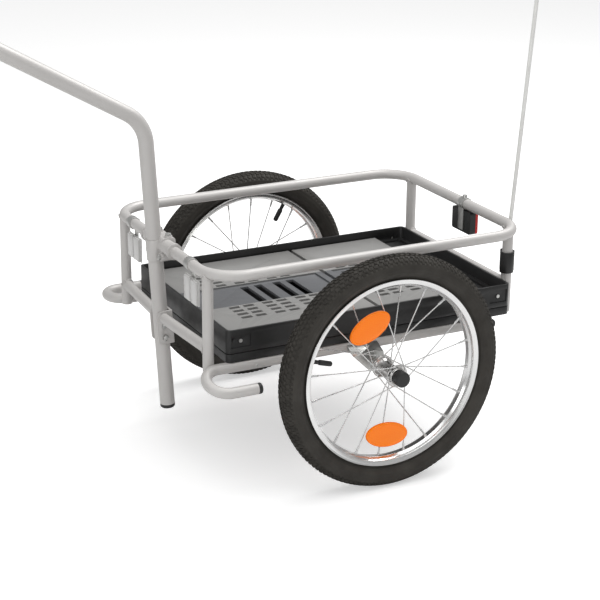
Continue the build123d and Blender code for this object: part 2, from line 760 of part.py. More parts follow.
def crate_base():
    """The tray: a floor and the low strip of wall under the split line."""
    rim_top = crate_bottom_z + crate_base_height
    length = crate_front_x - crate_rear_x
    floor = extrude(RectangleRounded(length, 2 * crate_half_width, crate_corner_r), crate_floor)
    floor = Pos((crate_front_x + crate_rear_x) / 2, crate_y, crate_bottom_z) * floor
    lip = crate_ring(crate_bottom_z, upper_bottom_z, crate_wall / 2, crate_wall + 1.0)
    web = crate_ring(crate_bottom_z, crate_bottom_z + 6.0, crate_wall + 4.0)
    return floor + crate_ring(crate_bottom_z, rim_top, crate_wall) + lip + web


def crate_upper():
    """The upper wall ring, with inner ledges that carry the panels and a shelf behind the rear one."""
    ring = crate_ring(upper_bottom_z, crate_top_z, crate_wall)
    under = panel_top_z - panel_thickness
    ledge = crate_ring(under - ledge_thickness, under, ledge_width)
    shelf_front = rear_hinge_x - panel_thickness / 2 - 1.0
    inner_y = crate_half_width - crate_wall + 1.0
    shelf = block(crate_rear_x + crate_wall - 1, shelf_front, crate_y - inner_y, crate_y + inner_y,
                  under - ledge_thickness - 6.0, under - ledge_thickness)
    seat = crate_ring(upper_bottom_z, upper_bottom_z + 6.0, crate_wall + 1.0)
    upper = ring + ledge + shelf + seat
    for x in (front_hinge_x, rear_hinge_x):
        upper -= rod((x, crate_y - crate_half_width - 1, panel_mid_z),
                     (x, crate_y + crate_half_width + 1, panel_mid_z), hinge_pin_r)
    for x in recess_centres():
        for sign in (1, -1):
            face_y = crate_y + sign * crate_half_width
            y0, y1 = sorted((face_y - sign * recess_depth, face_y + sign))
            upper -= block(x - recess_width / 2, x + recess_width / 2, y0, y1,
                           recess_z() - recess_height / 2, recess_z() + recess_height / 2)
            upper -= rod((x, face_y + sign, recess_z()), (x, face_y - sign * 2 * crate_wall, recess_z()),
                         rivet_r - 1.0)
    return largest(upper)


def recess_centres():
    return (crate_front_x - 24.0, crate_rear_x + 24.0)


def recess_z():
    return crate_top_z - 8.0 - recess_height / 2


def crate_rivets():
    """Domed rivets at the bottom of the recesses in the long sides."""
    rivets = []
    for x in recess_centres():
        for sign in (1, -1):
            seat_y = crate_y + sign * (crate_half_width - recess_depth)
            head = Plane(origin=(x, seat_y, recess_z()), z_dir=(0, sign, 0)) * Cylinder(
                rivet_r, 1.4, align=(Align.CENTER, Align.CENTER, Align.MIN))
            shank = rod((x, seat_y, recess_z()), (x, seat_y - sign * (crate_wall - recess_depth), recess_z()),
                        rivet_r - 1.0)
            rivets.append(head + shank)
    return group(*rivets)


def slot(x, y, length, width):
    """A cutter for one slot through a panel, length along X and width along Y."""
    cutter = extrude(RectangleRounded(length, width, slot_corner_r), 3 * panel_thickness)
    return Pos(x, y, panel_top_z - 2 * panel_thickness) * cutter


def crate_panel(hinge_x, free_x, first_group, plain_groups):
    """A perforated end wall lying flat: raised side strips and a recessed middle.

    Groups of two slot columns follow each other from the hinge. The middle stays plain beside the
    first few of them and has one long slot beside each column of the others.
    """
    half = crate_half_width - crate_wall - panel_side_gap
    x0, x1 = sorted((hinge_x, free_x))
    z0 = panel_top_z - panel_thickness
    panel = block(x0, x1, crate_y - half, crate_y + half, z0, panel_top_z)
    panel += rod((hinge_x, crate_y - half, panel_mid_z), (hinge_x, crate_y + half, panel_mid_z),
                 panel_thickness / 2)
    inner = half - panel_strip
    away = -1 if hinge_x > free_x else 1
    m0, m1 = sorted((hinge_x + away * (panel_thickness + panel_plain_end), free_x - away * panel_free_end))
    panel -= block(m0, m1, crate_y - inner, crate_y + inner, panel_top_z - panel_recess, panel_top_z + 1)
    room = abs(hinge_x - free_x) - first_group - slot_column_pitch / 2 - slot_length / 2 - panel_free_end
    for group_index in range(int(room // slot_group_pitch) + 1):
        group_x = hinge_x + away * (first_group + group_index * slot_group_pitch)
        for x in (group_x - slot_column_pitch / 2, group_x + slot_column_pitch / 2):
            for row in range(slot_rows):
                offset = inner + slot_margin + row * slot_row_pitch
                for _, sign in SIDES:
                    panel -= slot(x, crate_y + sign * offset, slot_length, slot_width)
            if group_index >= plain_groups:
                panel -= slot(x, crate_y, long_slot_width, 2 * (inner - slot_margin))
    panel -= rod((hinge_x, crate_y - half - 1, panel_mid_z), (hinge_x, crate_y + half + 1, panel_mid_z),
                 hinge_pin_r + running_clearance)
    return largest(panel)


def crate_front_panel():
    return crate_panel(front_hinge_x, panel_gap_x + panel_gap / 2, front_first_group, 1)


def crate_rear_panel():
    return crate_panel(rear_hinge_x, panel_gap_x - panel_gap / 2, rear_first_group, 0)


def crate_hinge_pins():
    pins = []
    for x in (front_hinge_x, rear_hinge_x):
        for sign in (1, -1):
            outer = crate_y + sign * crate_half_width
            pins.append(rod((x, outer, panel_mid_z), (x, outer - sign * hinge_pin_length, panel_mid_z),
                            hinge_pin_r))
    return group(*pins)


def crate_side_leaf(sign):
    """A long wall of the crate, folded down onto the floor."""
    z0 = crate_bottom_z + crate_floor
    y0, y1 = sorted((crate_y + sign * 1.5, crate_y + sign * (crate_half_width - crate_wall - 9.0)))
    return block(crate_rear_x + 16.0, crate_front_x - 16.0, y0, y1, z0, z0 + leaf_thickness)


# ---- reflectors
def rail_band(x, y, z, width):
    """A clamp band round a tube that runs along Y."""
    outer = rod((x, y - width / 2, z), (x, y + width / 2, z), tube_r + band_wall)
    return outer - rod((x, y - width, z), (x, y + width, z), tube_r)


front_bracket_x = rail_front_x - 4.5


def front_reflector_bracket(y):
    band = rail_band(rail_front_x, y, rail_z, band_width)
    plate = block(front_bracket_x - reflector_plate, front_bracket_x, y - band_width / 2,
                  y + band_width / 2, front_reflector_top_z - front_reflector_height + 6.0, rail_z)
    return largest(band + (plate - rod((rail_front_x, y - band_width, rail_z),
                                       (rail_front_x, y + band_width, rail_z), tube_r)))


def front_reflector_brackets():
    return group(*[front_reflector_bracket(sign * front_reflector_y) for _, sign in SIDES])


def front_reflector(sign):
    """A white reflector with a shallow groove between its two upright bands."""
    y = sign * front_reflector_y
    half = front_reflector_width / 2
    body = block(front_bracket_x, front_bracket_x + front_reflector_thickness, y - half, y + half,
                 front_reflector_top_z - front_reflector_height, front_reflector_top_z)
    body = fillet(body.edges().filter_by(Axis.X), 3.0)
    body = fillet(body.faces().sort_by(Axis.X)[-1].edges(), 1.5)
    groove = block(front_bracket_x + front_reflector_thickness - 2.0, front_bracket_x + 20.0, y - 2.0,
                   y + 2.0, 0, rail_z)
    return largest(body - groove)


rear_strap_x = rail_rear_x + 6.0


def rear_reflector_clamp():
    """A metal strap that hangs from the rail in front of the housing, and its clamp screw."""
    y = rear_reflector_y
    band = rail_band(rail_rear_x, y, rail_z, 16.0)
    low = rear_reflector_top_z - rear_reflector_height + 4.0
    strap = block(rear_strap_x, rear_strap_x + reflector_plate, y - 8.0, y + 8.0, low, rail_z)
    strap -= rod((rail_rear_x, y - 20, rail_z), (rail_rear_x, y + 20, rail_z), tube_r)
    top = rail_z + tube_r + band_wall
    screw = rod((rail_rear_x, y, top - 0.8), (rail_rear_x, y, top + 4.0), 4.0)
    return largest(band + strap + screw)


def rear_reflector_housing():
    y = rear_reflector_y
    half = rear_reflector_width / 2
    body = block(rear_strap_x - rear_housing_depth, rear_strap_x, y - half, y + half,
                 rear_reflector_top_z - rear_reflector_height, rear_reflector_top_z)
    body = fillet(body.edges().filter_by(Axis.X), 4.0)
    body -= rod((rail_rear_x, y - 2 * half, rail_z), (rail_rear_x, y + 2 * half, rail_z),
                tube_r + band_wall + 0.3)
    return largest(body)


def rear_reflector_lens():
    y = rear_reflector_y
    half = rear_reflector_width / 2
    back = rear_strap_x - rear_housing_depth
    body = block(back - rear_lens_depth, back, y - half, y + half,
                 rear_reflector_top_z - rear_reflector_height, rear_reflector_top_z)
    body = fillet(body.edges().filter_by(Axis.X), 4.0)
    return fillet(body.faces().sort_by(Axis.X)[0].edges(), 2.0)


# ---- flag
def flag_point(z):
    return (flag_line_x - (z - rail_z) * tan(radians(flag_lean)), flag_y, z)


def flag_rod():
    return rod(flag_point(flag_bottom_z), flag_point(flag_top_z), flag_rod_r)


def flag_holder():
    """A moulded clip round the rear post, with the cup that the flag rod stands in."""
    z0 = flag_bottom_z - 3.0
    z1 = z0 + holder_height
    x, y = rear_post_x, rear_post_y
    ring = rod((x, y, z0), (x, y, z1), tube_r + 3.0)
    cup = rod(flag_point(z0), flag_point(z1), flag_rod_r + 3.0)
    mid = flag_point((z0 + z1) / 2)
    bridge = block(mid[0] - 4.0, x + 2.0, flag_y, y, z0, z1)
    holder = ring + cup + bridge
    holder -= rod((x, y, z0 - 1), (x, y, z1 + 1), tube_r)
    holder -= rod(flag_point(flag_bottom_z), flag_point(z1 + 5), flag_rod_r)
    return largest(holder)


def pennant():
    """A stiffened cloth triangle, sewn round the top of the rod and streaming to the rear."""
    top = flag_top_z - 6.0
    low = top - pennant_height
    root_top = flag_point(top)[0]
    root_low = flag_point(low)[0]
    tip = (min(root_top, root_low) - pennant_length, (top + low) / 2)
    outline = Polyline((root_top, top), (root_low, low), tip, close=True)
    plane = Plane(origin=(0, flag_y - pennant_thickness / 2, 0), x_dir=(1, 0, 0), z_dir=(0, -1, 0))
    face = plane * make_face(outline)
    cloth = extrude(face, -pennant_thickness)
    sleeve = rod(flag_point(low), flag_point(top), flag_rod_r + pennant_thickness)
    cloth = cloth + sleeve
    return largest(cloth - flag_rod())


# ---- all sub-parts
def wheel_nodes(name, sign):
    pieces = {
        "tyre": tyre(), "inner_tube": inner_tube(), "rim": largest(rim() - valve_hole()),
        "spokes": spokes(), "hub": hub(), "hub_bearings": hub_bearings(), "valve": valve(),
        "spoke_reflectors": spoke_reflectors(name), "axle": axle(), "release_cap": release_cap(),
    }
    if sign < 0:
        pieces = {key: mirrored(about_axle(piece, right_wheel_turn)) for key, piece in pieces.items()}
    return {f"{key}_{name}": piece for key, piece in pieces.items()}


def all_nodes():
    nodes = {
        "top_rail": top_rail(), "front_posts": front_posts(), "rear_posts": rear_posts(),
        "front_cross_rail": front_cross_rail(), "rear_cross_rail": rear_cross_rail(),
        "runner_left": runner("left"), "runner_right": mirrored(runner("right")),
        "cross_member_front": cross_member(front_member_x), "cross_member_middle": cross_member(0.0),
        "cross_member_rear": rear_member(), "rear_straps": rear_straps(),
        "tube_end_caps": tube_end_caps(),
        "axle_carrier_left": axle_carrier(), "axle_carrier_right": mirrored(axle_carrier()),
        "drawbar_tube": drawbar_tube(), "rail_joint": rail_joint(),
        "rail_joint_screws": rail_joint_screws(), "lower_bracket": lower_bracket(),
        "bracket_bolts": bracket_bolts(), "coupling_socket": coupling_socket(),
        "swivel_fork": swivel_fork(), "pitch_pin": pitch_pin(), "coupling_head": coupling_head(),
        "crate_base": crate_base(), "crate_upper": crate_upper(),
        "crate_front_panel": crate_front_panel(), "crate_rear_panel": crate_rear_panel(),
        "crate_hinge_pins": crate_hinge_pins(), "crate_rivets": crate_rivets(),
        "crate_side_leaf_left": crate_side_leaf(1), "crate_side_leaf_right": crate_side_leaf(-1),
        "front_reflector_left": front_reflector(1), "front_reflector_right": front_reflector(-1),
        "front_reflector_brackets": front_reflector_brackets(),
        "rear_reflector_clamp": rear_reflector_clamp(),
        "rear_reflector_housing": rear_reflector_housing(), "rear_reflector_lens": rear_reflector_lens(),
        "flag_rod": flag_rod(), "flag_holder": flag_holder(), "pennant": pennant(),
    }
    for name, sign in SIDES:
        nodes.update(wheel_nodes(name, sign))
    return nodes


def main():
    os.makedirs("parts", exist_ok=True)
    nodes = all_nodes()
    boxes = [shape.bounding_box() for shape in nodes.values()]
    middle_x = (min(box.min.X for box in boxes) + max(box.max.X for box in boxes)) / 2
    middle_y = (min(box.min.Y for box in boxes) + max(box.max.Y for box in boxes)) / 2
    print(f"axle is at x = {-middle_x:.4f}, middle plane at y = {-middle_y:.4f}")
    for name, shape in nodes.items():
        placed = [Pos(-middle_x, -middle_y, 0) * solid for solid in shape.solids()]
        result = placed[0] if len(placed) == 1 else Compound(children=placed)
        export_step(result, f"parts/{name}.step")


main()
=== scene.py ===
"""Cargo bicycle trailer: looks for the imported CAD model.

Sizes are in millimetres in the axle frame (origin on the ground under the axle, +X forward,
+Y left, +Z up), and place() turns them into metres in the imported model's frame.
"""
import bmesh
import bpy
import json
import math
import random
from math import cos, pi, radians, sin, sqrt, tan
from mathutils import Matrix, Vector


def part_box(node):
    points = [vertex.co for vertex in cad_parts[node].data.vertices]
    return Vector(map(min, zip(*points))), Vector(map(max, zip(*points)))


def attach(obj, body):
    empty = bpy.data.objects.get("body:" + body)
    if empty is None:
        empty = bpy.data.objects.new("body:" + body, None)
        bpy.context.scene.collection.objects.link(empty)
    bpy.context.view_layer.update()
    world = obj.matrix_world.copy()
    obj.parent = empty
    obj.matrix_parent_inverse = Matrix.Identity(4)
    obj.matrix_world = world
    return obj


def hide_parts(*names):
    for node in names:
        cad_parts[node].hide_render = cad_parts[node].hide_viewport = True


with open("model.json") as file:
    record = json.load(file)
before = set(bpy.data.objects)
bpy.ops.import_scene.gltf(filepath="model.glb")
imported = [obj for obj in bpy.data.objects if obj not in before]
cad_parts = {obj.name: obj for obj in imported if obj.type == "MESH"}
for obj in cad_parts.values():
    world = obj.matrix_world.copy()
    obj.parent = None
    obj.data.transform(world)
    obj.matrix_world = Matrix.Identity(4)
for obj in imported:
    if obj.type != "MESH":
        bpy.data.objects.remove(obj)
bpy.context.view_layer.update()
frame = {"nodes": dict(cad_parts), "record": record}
nodes = frame["nodes"]
axle_lo, axle_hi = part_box("axle_left")
axle_x = (axle_lo.x + axle_hi.x) / 2
random.seed(16)

# ---- sizes that the pieces share with the CAD model, in millimetres
tyre_r = 198.0
rim_r, rim_bed_r, rim_half_width = 159.5, 146.0, 14.0
wheel_y = 267.0
spoke_count, spoke_r, spoke_lacing, spoke_phase = 20, 1.0, 72.0, 6.6
flange_r, flange_hole_r, flange_offset, flange_thickness = 19.0, 16.0, 23.0, 3.0
hub_body_r, hub_end, bearing_width = 13.5, 27.5, 7.0
axle_r = 6.0
tube_r, tube_wall = 9.0, 1.5
rail_front_x, rail_rear_x, rail_y, rail_z = 283.0, -288.0, 210.0, 377.0
rail_bend_r, rail_end_y = 60.0, 30.0
runner_y, runner_z, runner_bend_x, hook_bend_r, hook_end_x = 186.0, 218.0, 267.0, 30.0, 225.0
hook_tilts = {1: -18.0, -1: -2.0}
rear_member_x, front_member_x = -235.0, 212.0
drawbar_r, drawbar_wall, foot_x, foot_z, drawbar_lean = 12.5, 2.0, 277.0, 92.0, 3.6
drawbar_bend_z, drawbar_bend_r, drawbar_climb = 580.5, 65.0, 30.0
drawbar_top_z, drawbar_top_bend_r, drawbar_end_x = 792.0, 260.0, 1062.0
front_post_y, rear_post_y, front_cross_z, rear_cross_z = 174.0, 162.0, 250.0, 272.0
front_post_foot_z, rear_post_foot_z, post_seat = 214.0, 223.0, 2.0
cross_tube_inner_y = 15.6
right_wheel_turn = 103.8
valve_angle = 16.2
reflector_half_length, reflector_half_height = 38.0, 21.0
crate_y, panel_middle_half = 8.0, 47.0
mm = 0.001


def place(point):
    """A point in the axle frame, in millimetres, as metres in the model's frame."""
    return Vector((axle_x + point[0] * mm, point[1] * mm, point[2] * mm))


# ---- node materials
def new_material(name):
    material = bpy.data.materials.new(name)
    material.use_nodes = True
    tree = material.node_tree
    shader = tree.nodes["Principled BSDF"]
    return material, tree, shader


def noise(tree, scale, detail=3.0, rough=0.55):
    coords = tree.nodes.new("ShaderNodeTexCoord")
    texture = tree.nodes.new("ShaderNodeTexNoise")
    texture.inputs["Scale"].default_value = scale
    texture.inputs["Detail"].default_value = detail
    texture.inputs["Roughness"].default_value = rough
    tree.links.new(coords.outputs["Object"], texture.inputs["Vector"])
    return texture.outputs["Fac"]


def ramp(tree, factor, stops):
    node = tree.nodes.new("ShaderNodeValToRGB")
    elements = node.color_ramp.elements
    while len(elements) < len(stops):
        elements.new(0.5)
    for element, (position, colour) in zip(elements, stops):
        element.position = position
        element.color = (*colour, 1.0)
    tree.links.new(factor, node.inputs["Fac"])
    return node.outputs["Color"]


def ranged(tree, factor, low, high, from_low=0.3, from_high=0.7):
    node = tree.nodes.new("ShaderNodeMapRange")
    node.inputs["From Min"].default_value = from_low
    node.inputs["From Max"].default_value = from_high
    node.inputs["To Min"].default_value = low
    node.inputs["To Max"].default_value = high
    tree.links.new(factor, node.inputs["Value"])
    return node.outputs["Result"]


def bump(tree, shader, height, strength, distance):
    node = tree.nodes.new("ShaderNodeBump")
    node.inputs["Strength"].default_value = strength
    node.inputs["Distance"].default_value = distance
    tree.links.new(height, node.inputs["Height"])
    tree.links.new(node.outputs["Normal"], shader.inputs["Normal"])


def finish_material(name, dark, light, rough, scale, metallic=0.0,
                    grain=(900.0, 0.15, 0.0002), **sockets):
    """Colour and roughness vary softly between two values each, with a fine grain."""
    material, tree, shader = new_material(name)
    patches = noise(tree, scale)
    tree.links.new(ramp(tree, patches, ((0.3, dark), (0.7, light))), shader.inputs["Base Color"])
    tree.links.new(ranged(tree, noise(tree, scale * 3.0), *rough), shader.inputs["Roughness"])
    shader.inputs["Metallic"].default_value = metallic
    grain_scale, strength, distance = grain
    bump(tree, shader, noise(tree, grain_scale, 2.0), strength, distance)
    for socket, value in sockets.items():
        shader.inputs[socket.replace("_", " ")].default_value = value
    return material


silver_paint = finish_material("silver_paint", (0.52, 0.505, 0.49), (0.58, 0.565, 0.55), (0.44, 0.54), 5.0,
                               0.22, (1300.0, 0.10, 0.0001), Coat_Weight=0.12, Coat_Roughness=0.3)
weld_paint = finish_material("weld_paint", (0.46, 0.445, 0.43), (0.55, 0.535, 0.52), (0.45, 0.56), 60.0,
                             0.22, (700.0, 0.3, 0.0004))
zinc_steel = finish_material("zinc_steel", (0.46, 0.46, 0.45), (0.62, 0.62, 0.60), (0.26, 0.42), 40.0,
                             0.9, (1200.0, 0.12, 0.0001))
hub_alloy = finish_material("hub_alloy", (0.50, 0.49, 0.48), (0.66, 0.65, 0.64), (0.2, 0.34), 35.0,
                            0.95, (900.0, 0.10, 0.0001))
chrome_rim = finish_material("chrome_rim", (0.74, 0.74, 0.74), (0.84, 0.84, 0.83), (0.12, 0.22), 14.0,
                             0.92, (700.0, 0.04, 0.0001))
spoke_steel = finish_material("spoke_steel", (0.62, 0.62, 0.62), (0.78, 0.78, 0.77), (0.22, 0.32), 50.0,
                              0.8, (900.0, 0.05, 0.0001))
tyre_rubber = finish_material("tyre_rubber", (0.030, 0.027, 0.023), (0.048, 0.044, 0.038), (0.58, 0.78), 22.0,
                              0.0, (1000.0, 0.3, 0.0003), Specular_IOR_Level=0.3)
tread_rubber = finish_material("tread_rubber", (0.024, 0.022, 0.019), (0.052, 0.048, 0.042), (0.68, 0.88),
                               70.0,
                               0.0, (800.0, 0.45, 0.0004), Specular_IOR_Level=0.25)
tube_rubber = finish_material("tube_rubber", (0.01, 0.01, 0.01), (0.02, 0.02, 0.02), (0.6, 0.75), 30.0)
black_plastic = finish_material("black_plastic", (0.012, 0.012, 0.012), (0.020, 0.020, 0.020), (0.36, 0.5),
                                12.0,
                                0.0, (1500.0, 0.3, 0.00015), Specular_IOR_Level=0.45)
white_fibreglass = finish_material("white_fibreglass", (0.72, 0.72, 0.70), (0.82, 0.82, 0.80), (0.35, 0.45),
                                   20.0)


def panel_plastic():
    """Grey moulded plastic: satin side strips, and a darker textured middle between them."""
    material, tree, shader = new_material("grey_plastic")
    coords = tree.nodes.new("ShaderNodeTexCoord")
    parts = tree.nodes.new("ShaderNodeSeparateXYZ")
    tree.links.new(coords.outputs["Object"], parts.inputs["Vector"])
    offset = tree.nodes.new("ShaderNodeMath")
    offset.operation = "SUBTRACT"
    offset.inputs[1].default_value = crate_y * mm
    tree.links.new(parts.outputs["Y"], offset.inputs[0])
    distance = tree.nodes.new("ShaderNodeMath")
    distance.operation = "ABSOLUTE"
    tree.links.new(offset.outputs[0], distance.inputs[0])
    edge_at, edge_soft = panel_middle_half * mm, 0.5 * mm
    strip_mask = ranged(tree, distance.outputs[0], 0.0, 1.0, edge_at - edge_soft, edge_at + edge_soft)
    middle = ramp(tree, noise(tree, 9.0),
                  ((0.3, (0.105, 0.108, 0.115)), (0.7, (0.13, 0.133, 0.14))))
    outer = ramp(tree, noise(tree, 9.0),
                 ((0.3, (0.235, 0.232, 0.226)), (0.7, (0.275, 0.272, 0.265))))
    mixed = tree.nodes.new("ShaderNodeMix")
    mixed.data_type = "RGBA"
    tree.links.new(strip_mask, mixed.inputs["Factor"])
    tree.links.new(middle, mixed.inputs["A"])
    tree.links.new(outer, mixed.inputs["B"])
    tree.links.new(mixed.outputs["Result"], shader.inputs["Base Color"])
    tree.links.new(ranged(tree, noise(tree, 30.0), 0.4, 0.55), shader.inputs["Roughness"])
    shader.inputs["Specular IOR Level"].default_value = 0.4
    bump(tree, shader, noise(tree, 1500.0, 2.0), 0.3, 0.00015)
    return material


def prism_plastic(name, dark, light, cell, emission=0.0):
    """Moulded reflector plastic: clear gloss over a field of small corner prisms; an emission above zero
    makes it glow in its light colour, a painted glow.
    """
    material, tree, shader = new_material(name)
    coords = tree.nodes.new("ShaderNodeTexCoord")
    cells = tree.nodes.new("ShaderNodeTexVoronoi")
    cells.distance = "CHEBYCHEV"
    cells.inputs["Scale"].default_value = cell
    cells.inputs["Randomness"].default_value = 0.12
    tree.links.new(coords.outputs["Object"], cells.inputs["Vector"])
    tree.links.new(ramp(tree, cells.outputs["Distance"], ((0.1, light), (0.6, dark))),
                   shader.inputs["Base Color"])
    tree.links.new(ranged(tree, noise(tree, 60.0), 0.12, 0.24), shader.inputs["Roughness"])
    bump(tree, shader, cells.outputs["Distance"], 0.35, 0.0006)
    shader.inputs["Coat Weight"].default_value = 0.12
    shader.inputs["Coat Roughness"].default_value = 0.1
    shader.inputs["Specular IOR Level"].default_value = 0.3
    # The emission is painted light: the plastic glows in its light colour though it is no lamp.
    if emission:
        shader.inputs["Emission Color"].default_value = (*light, 1.0)
        shader.inputs["Emission Strength"].default_value = emission
    return material


def woven_cloth(name, dark, light):
    """Plain woven nylon: two crossed sets of fine threads, with a soft sheen."""
    material, tree, shader = new_material(name)
    coords = tree.nodes.new("ShaderNodeTexCoord")
    heights = []
    for direction in ("X", "Z"):
        wave = tree.nodes.new("ShaderNodeTexWave")
        wave.bands_direction = direction
        wave.inputs["Scale"].default_value = 420.0
        wave.inputs["Distortion"].default_value = 0.4
        tree.links.new(coords.outputs["Object"], wave.inputs["Vector"])
        heights.append(wave.outputs["Fac"])
    weave = tree.nodes.new("ShaderNodeMath")
    weave.operation = "MULTIPLY"
    tree.links.new(heights[0], weave.inputs[0])
    tree.links.new(heights[1], weave.inputs[1])
    tree.links.new(ramp(tree, weave.outputs[0], ((0.0, dark), (0.8, light))), shader.inputs["Base Color"])
    tree.links.new(ranged(tree, noise(tree, 40.0), 0.62, 0.8), shader.inputs["Roughness"])
    bump(tree, shader, weave.outputs[0], 0.5, 0.0002)
    shader.inputs["Sheen Weight"].default_value = 0.3
    return material


grey_plastic = panel_plastic()
# The orange reflectors glow faintly (emission 0.22): a painted glow that brightens them.
orange_plastic = prism_plastic("orange_plastic", (0.80, 0.13, 0.0), (0.98, 0.235, 0.004), 330.0, 0.22)
white_reflector = prism_plastic("white_reflector", (0.50, 0.495, 0.485), (0.74, 0.735, 0.725), 420.0)
red_lens = prism_plastic("red_lens", (0.42, 0.004, 0.004), (0.66, 0.02, 0.015), 360.0)
pennant_cloth = woven_cloth("pennant_cloth", (0.72, 0.11, 0.01), (0.92, 0.19, 0.02))

slot_materials = {
    "silver_paint": silver_paint, "zinc_steel": zinc_steel, "hub_alloy": hub_alloy, "chrome_rim": chrome_rim,
    "tyre_rubber": tyre_rubber, "tube_rubber": tube_rubber, "black_plastic": black_plastic,
    "grey_plastic": grey_plastic, "white_fibreglass": white_fibreglass, "orange_plastic": orange_plastic,
    "white_reflector": white_reflector, "red_lens": red_lens, "pennant_cloth": pennant_cloth,
}

# ---- camera and stage
lens_length, roll = 103.05, 0.009669
camera_at = (1299.47, 2480.87, 1242.30)
world_seen, world_lit = 1.02, 0.55
floor_albedo, floor_glow = 0.86, 0.46

camera_data = bpy.data.cameras.new("camera")
camera = bpy.data.objects.new("camera", camera_data)
bpy.context.scene.collection.objects.link(camera)
bpy.context.scene.camera = camera
camera_data.sensor_width = 36.0
camera_data.lens = lens_length
camera_data.clip_start, camera_data.clip_end = 0.05, 60.0
bpy.context.scene.view_settings.view_transform = "Standard"
forward = Vector((-0.42934883, -0.83702302, -0.33919322)).normalized()
level_right = forward.cross(Vector((0, 0, 1))).normalized()
level_up = level_right.cross(forward)
cam_right = level_right * cos(roll) + level_up * sin(roll)
cam_up = level_up * cos(roll) - level_right * sin(roll)
camera.matrix_world = Matrix.Translation(place(camera_at)) @ Matrix(
    (cam_right, cam_up, -forward)).transposed().to_4x4()


def area_light(name, location, target, size, power):
    data = bpy.data.lights.new(name, "AREA")
    data.shape = "RECTANGLE"
    data.size, data.size_y = size
    data.energy = power
    light = bpy.data.objects.new(name, data)
    bpy.context.scene.collection.objects.link(light)
    light.location = location
    light.rotation_euler = (Vector(target) - Vector(location)).to_track_quat("-Z", "Y").to_euler()


area_light("key_rear", (-1.9, -0.5, 2.5), (-0.3, 0.0, 0.2), (1.5, 1.5), 46.0)
area_light("overhead", (0.1, 0.6, 2.8), (-0.2, 0.0, 0.3), (3.0, 3.0), 40.0)
area_light("front_box", (2.4, 1.8, 1.3), (-0.1, 0.0, 0.3), (1.6, 1.4), 14.0)

world = bpy.data.worlds.new("studio")
bpy.context.scene.world = world
world.use_nodes = True
world_tree = world.node_tree
for node in list(world_tree.nodes):
    world_tree.nodes.remove(node)
world_out = world_tree.nodes.new("ShaderNodeOutputWorld")
seen = world_tree.nodes.new("ShaderNodeBackground")
seen.inputs["Strength"].default_value = world_seen
lit = world_tree.nodes.new("ShaderNodeBackground")
lit.inputs["Strength"].default_value = world_lit
by_ray = world_tree.nodes.new("ShaderNodeMixShader")
rays = world_tree.nodes.new("ShaderNodeLightPath")
world_tree.links.new(rays.outputs["Is Camera Ray"], by_ray.inputs["Fac"])
world_tree.links.new(lit.outputs[0], by_ray.inputs[1])
world_tree.links.new(seen.outputs[0], by_ray.inputs[2])
world_tree.links.new(by_ray.outputs[0], world_out.inputs["Surface"])

floor_mesh = bpy.data.meshes.new("floor")
floor_half = 14.0
floor_mesh.from_pydata([(-floor_half, -floor_half, 0), (floor_half, -floor_half, 0),
                        (floor_half, floor_half, 0), (-floor_half, floor_half, 0)], [], [(0, 1, 2, 3)])
floor = bpy.data.objects.new("floor", floor_mesh)
bpy.context.scene.collection.objects.link(floor)
floor_material, floor_tree, floor_shader = new_material("floor_paper")
floor_shader.inputs["Base Color"].default_value = (floor_albedo, floor_albedo, floor_albedo, 1)
floor_shader.inputs["Roughness"].default_value = 0.9
glow = floor_tree.nodes.new("ShaderNodeEmission")
floor_add = floor_tree.nodes.new("ShaderNodeAddShader")
floor_rays = floor_tree.nodes.new("ShaderNodeLightPath")
glow_strength = floor_tree.nodes.new("ShaderNodeMath")
glow_strength.operation = "MULTIPLY"
glow_strength.inputs[1].default_value = floor_glow
floor_tree.links.new(floor_rays.outputs["Is Camera Ray"], glow_strength.inputs[0])
floor_tree.links.new(glow_strength.outputs[0], glow.inputs["Strength"])
floor_tree.links.new(floor_shader.outputs[0], floor_add.inputs[0])
floor_tree.links.new(glow.outputs[0], floor_add.inputs[1])
floor_tree.links.new(floor_add.outputs[0], floor_tree.nodes["Material Output"].inputs["Surface"])
floor_mesh.materials.append(floor_material)

# ---- mesh building
class Shape:
    """Vertices and faces of one piece, in millimetres in the axle frame."""

    def __init__(self):
        self.verts, self.faces = [], []

    def add(self, verts, faces):
        base = len(self.verts)
        self.verts += [Vector(v) for v in verts]
        self.faces += [tuple(base + i for i in face) for face in faces]
        return self

    def moved(self, change):
        """A copy with every point changed by a function; mirrored copies keep their faces outward."""
        copy = Shape()
        copy.verts = [Vector(change(v)) for v in self.verts]
        a, b, c, d = (Vector(change(Vector(p))) for p in ((0, 0, 0), (1, 0, 0), (0, 1, 0), (0, 0, 1)))
        flipped = (b - a).cross(c - a).dot(d - a) < 0
        copy.faces = [tuple(reversed(f)) if flipped else f for f in self.faces]
        return copy


def put(name, shape, material, body, replaced=(), sharp=35.0):
    """Make the object, give it its finish, let it ride on its body and stand for its CAD nodes."""
    mesh = bpy.data.meshes.new(name)
    mesh.from_pydata([place(v) for v in shape.verts], [], shape.faces)
    mesh.validate()
    obj = bpy.data.objects.new(name, mesh)
    bpy.context.scene.collection.objects.link(obj)
    mesh.materials.append(material)
    for polygon in mesh.polygons:
        polygon.use_smooth = True
    mesh.set_sharp_from_angle(angle=radians(sharp))
    if replaced:
        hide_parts(*replaced)
    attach(obj, body)
    return obj


def strip(rings, closed_ring=True, closed_path=False):
    """Faces that join rings of equal size, in order."""
    faces, size = [], len(rings[0])
    count = len(rings) if closed_path else len(rings) - 1
    for i in range(count):
        a, b = rings[i], rings[(i + 1) % len(rings)]
        for j in range(size if closed_ring else size - 1):
            k = (j + 1) % size
            faces.append((a[j], a[k], b[k], b[j]))
    return faces


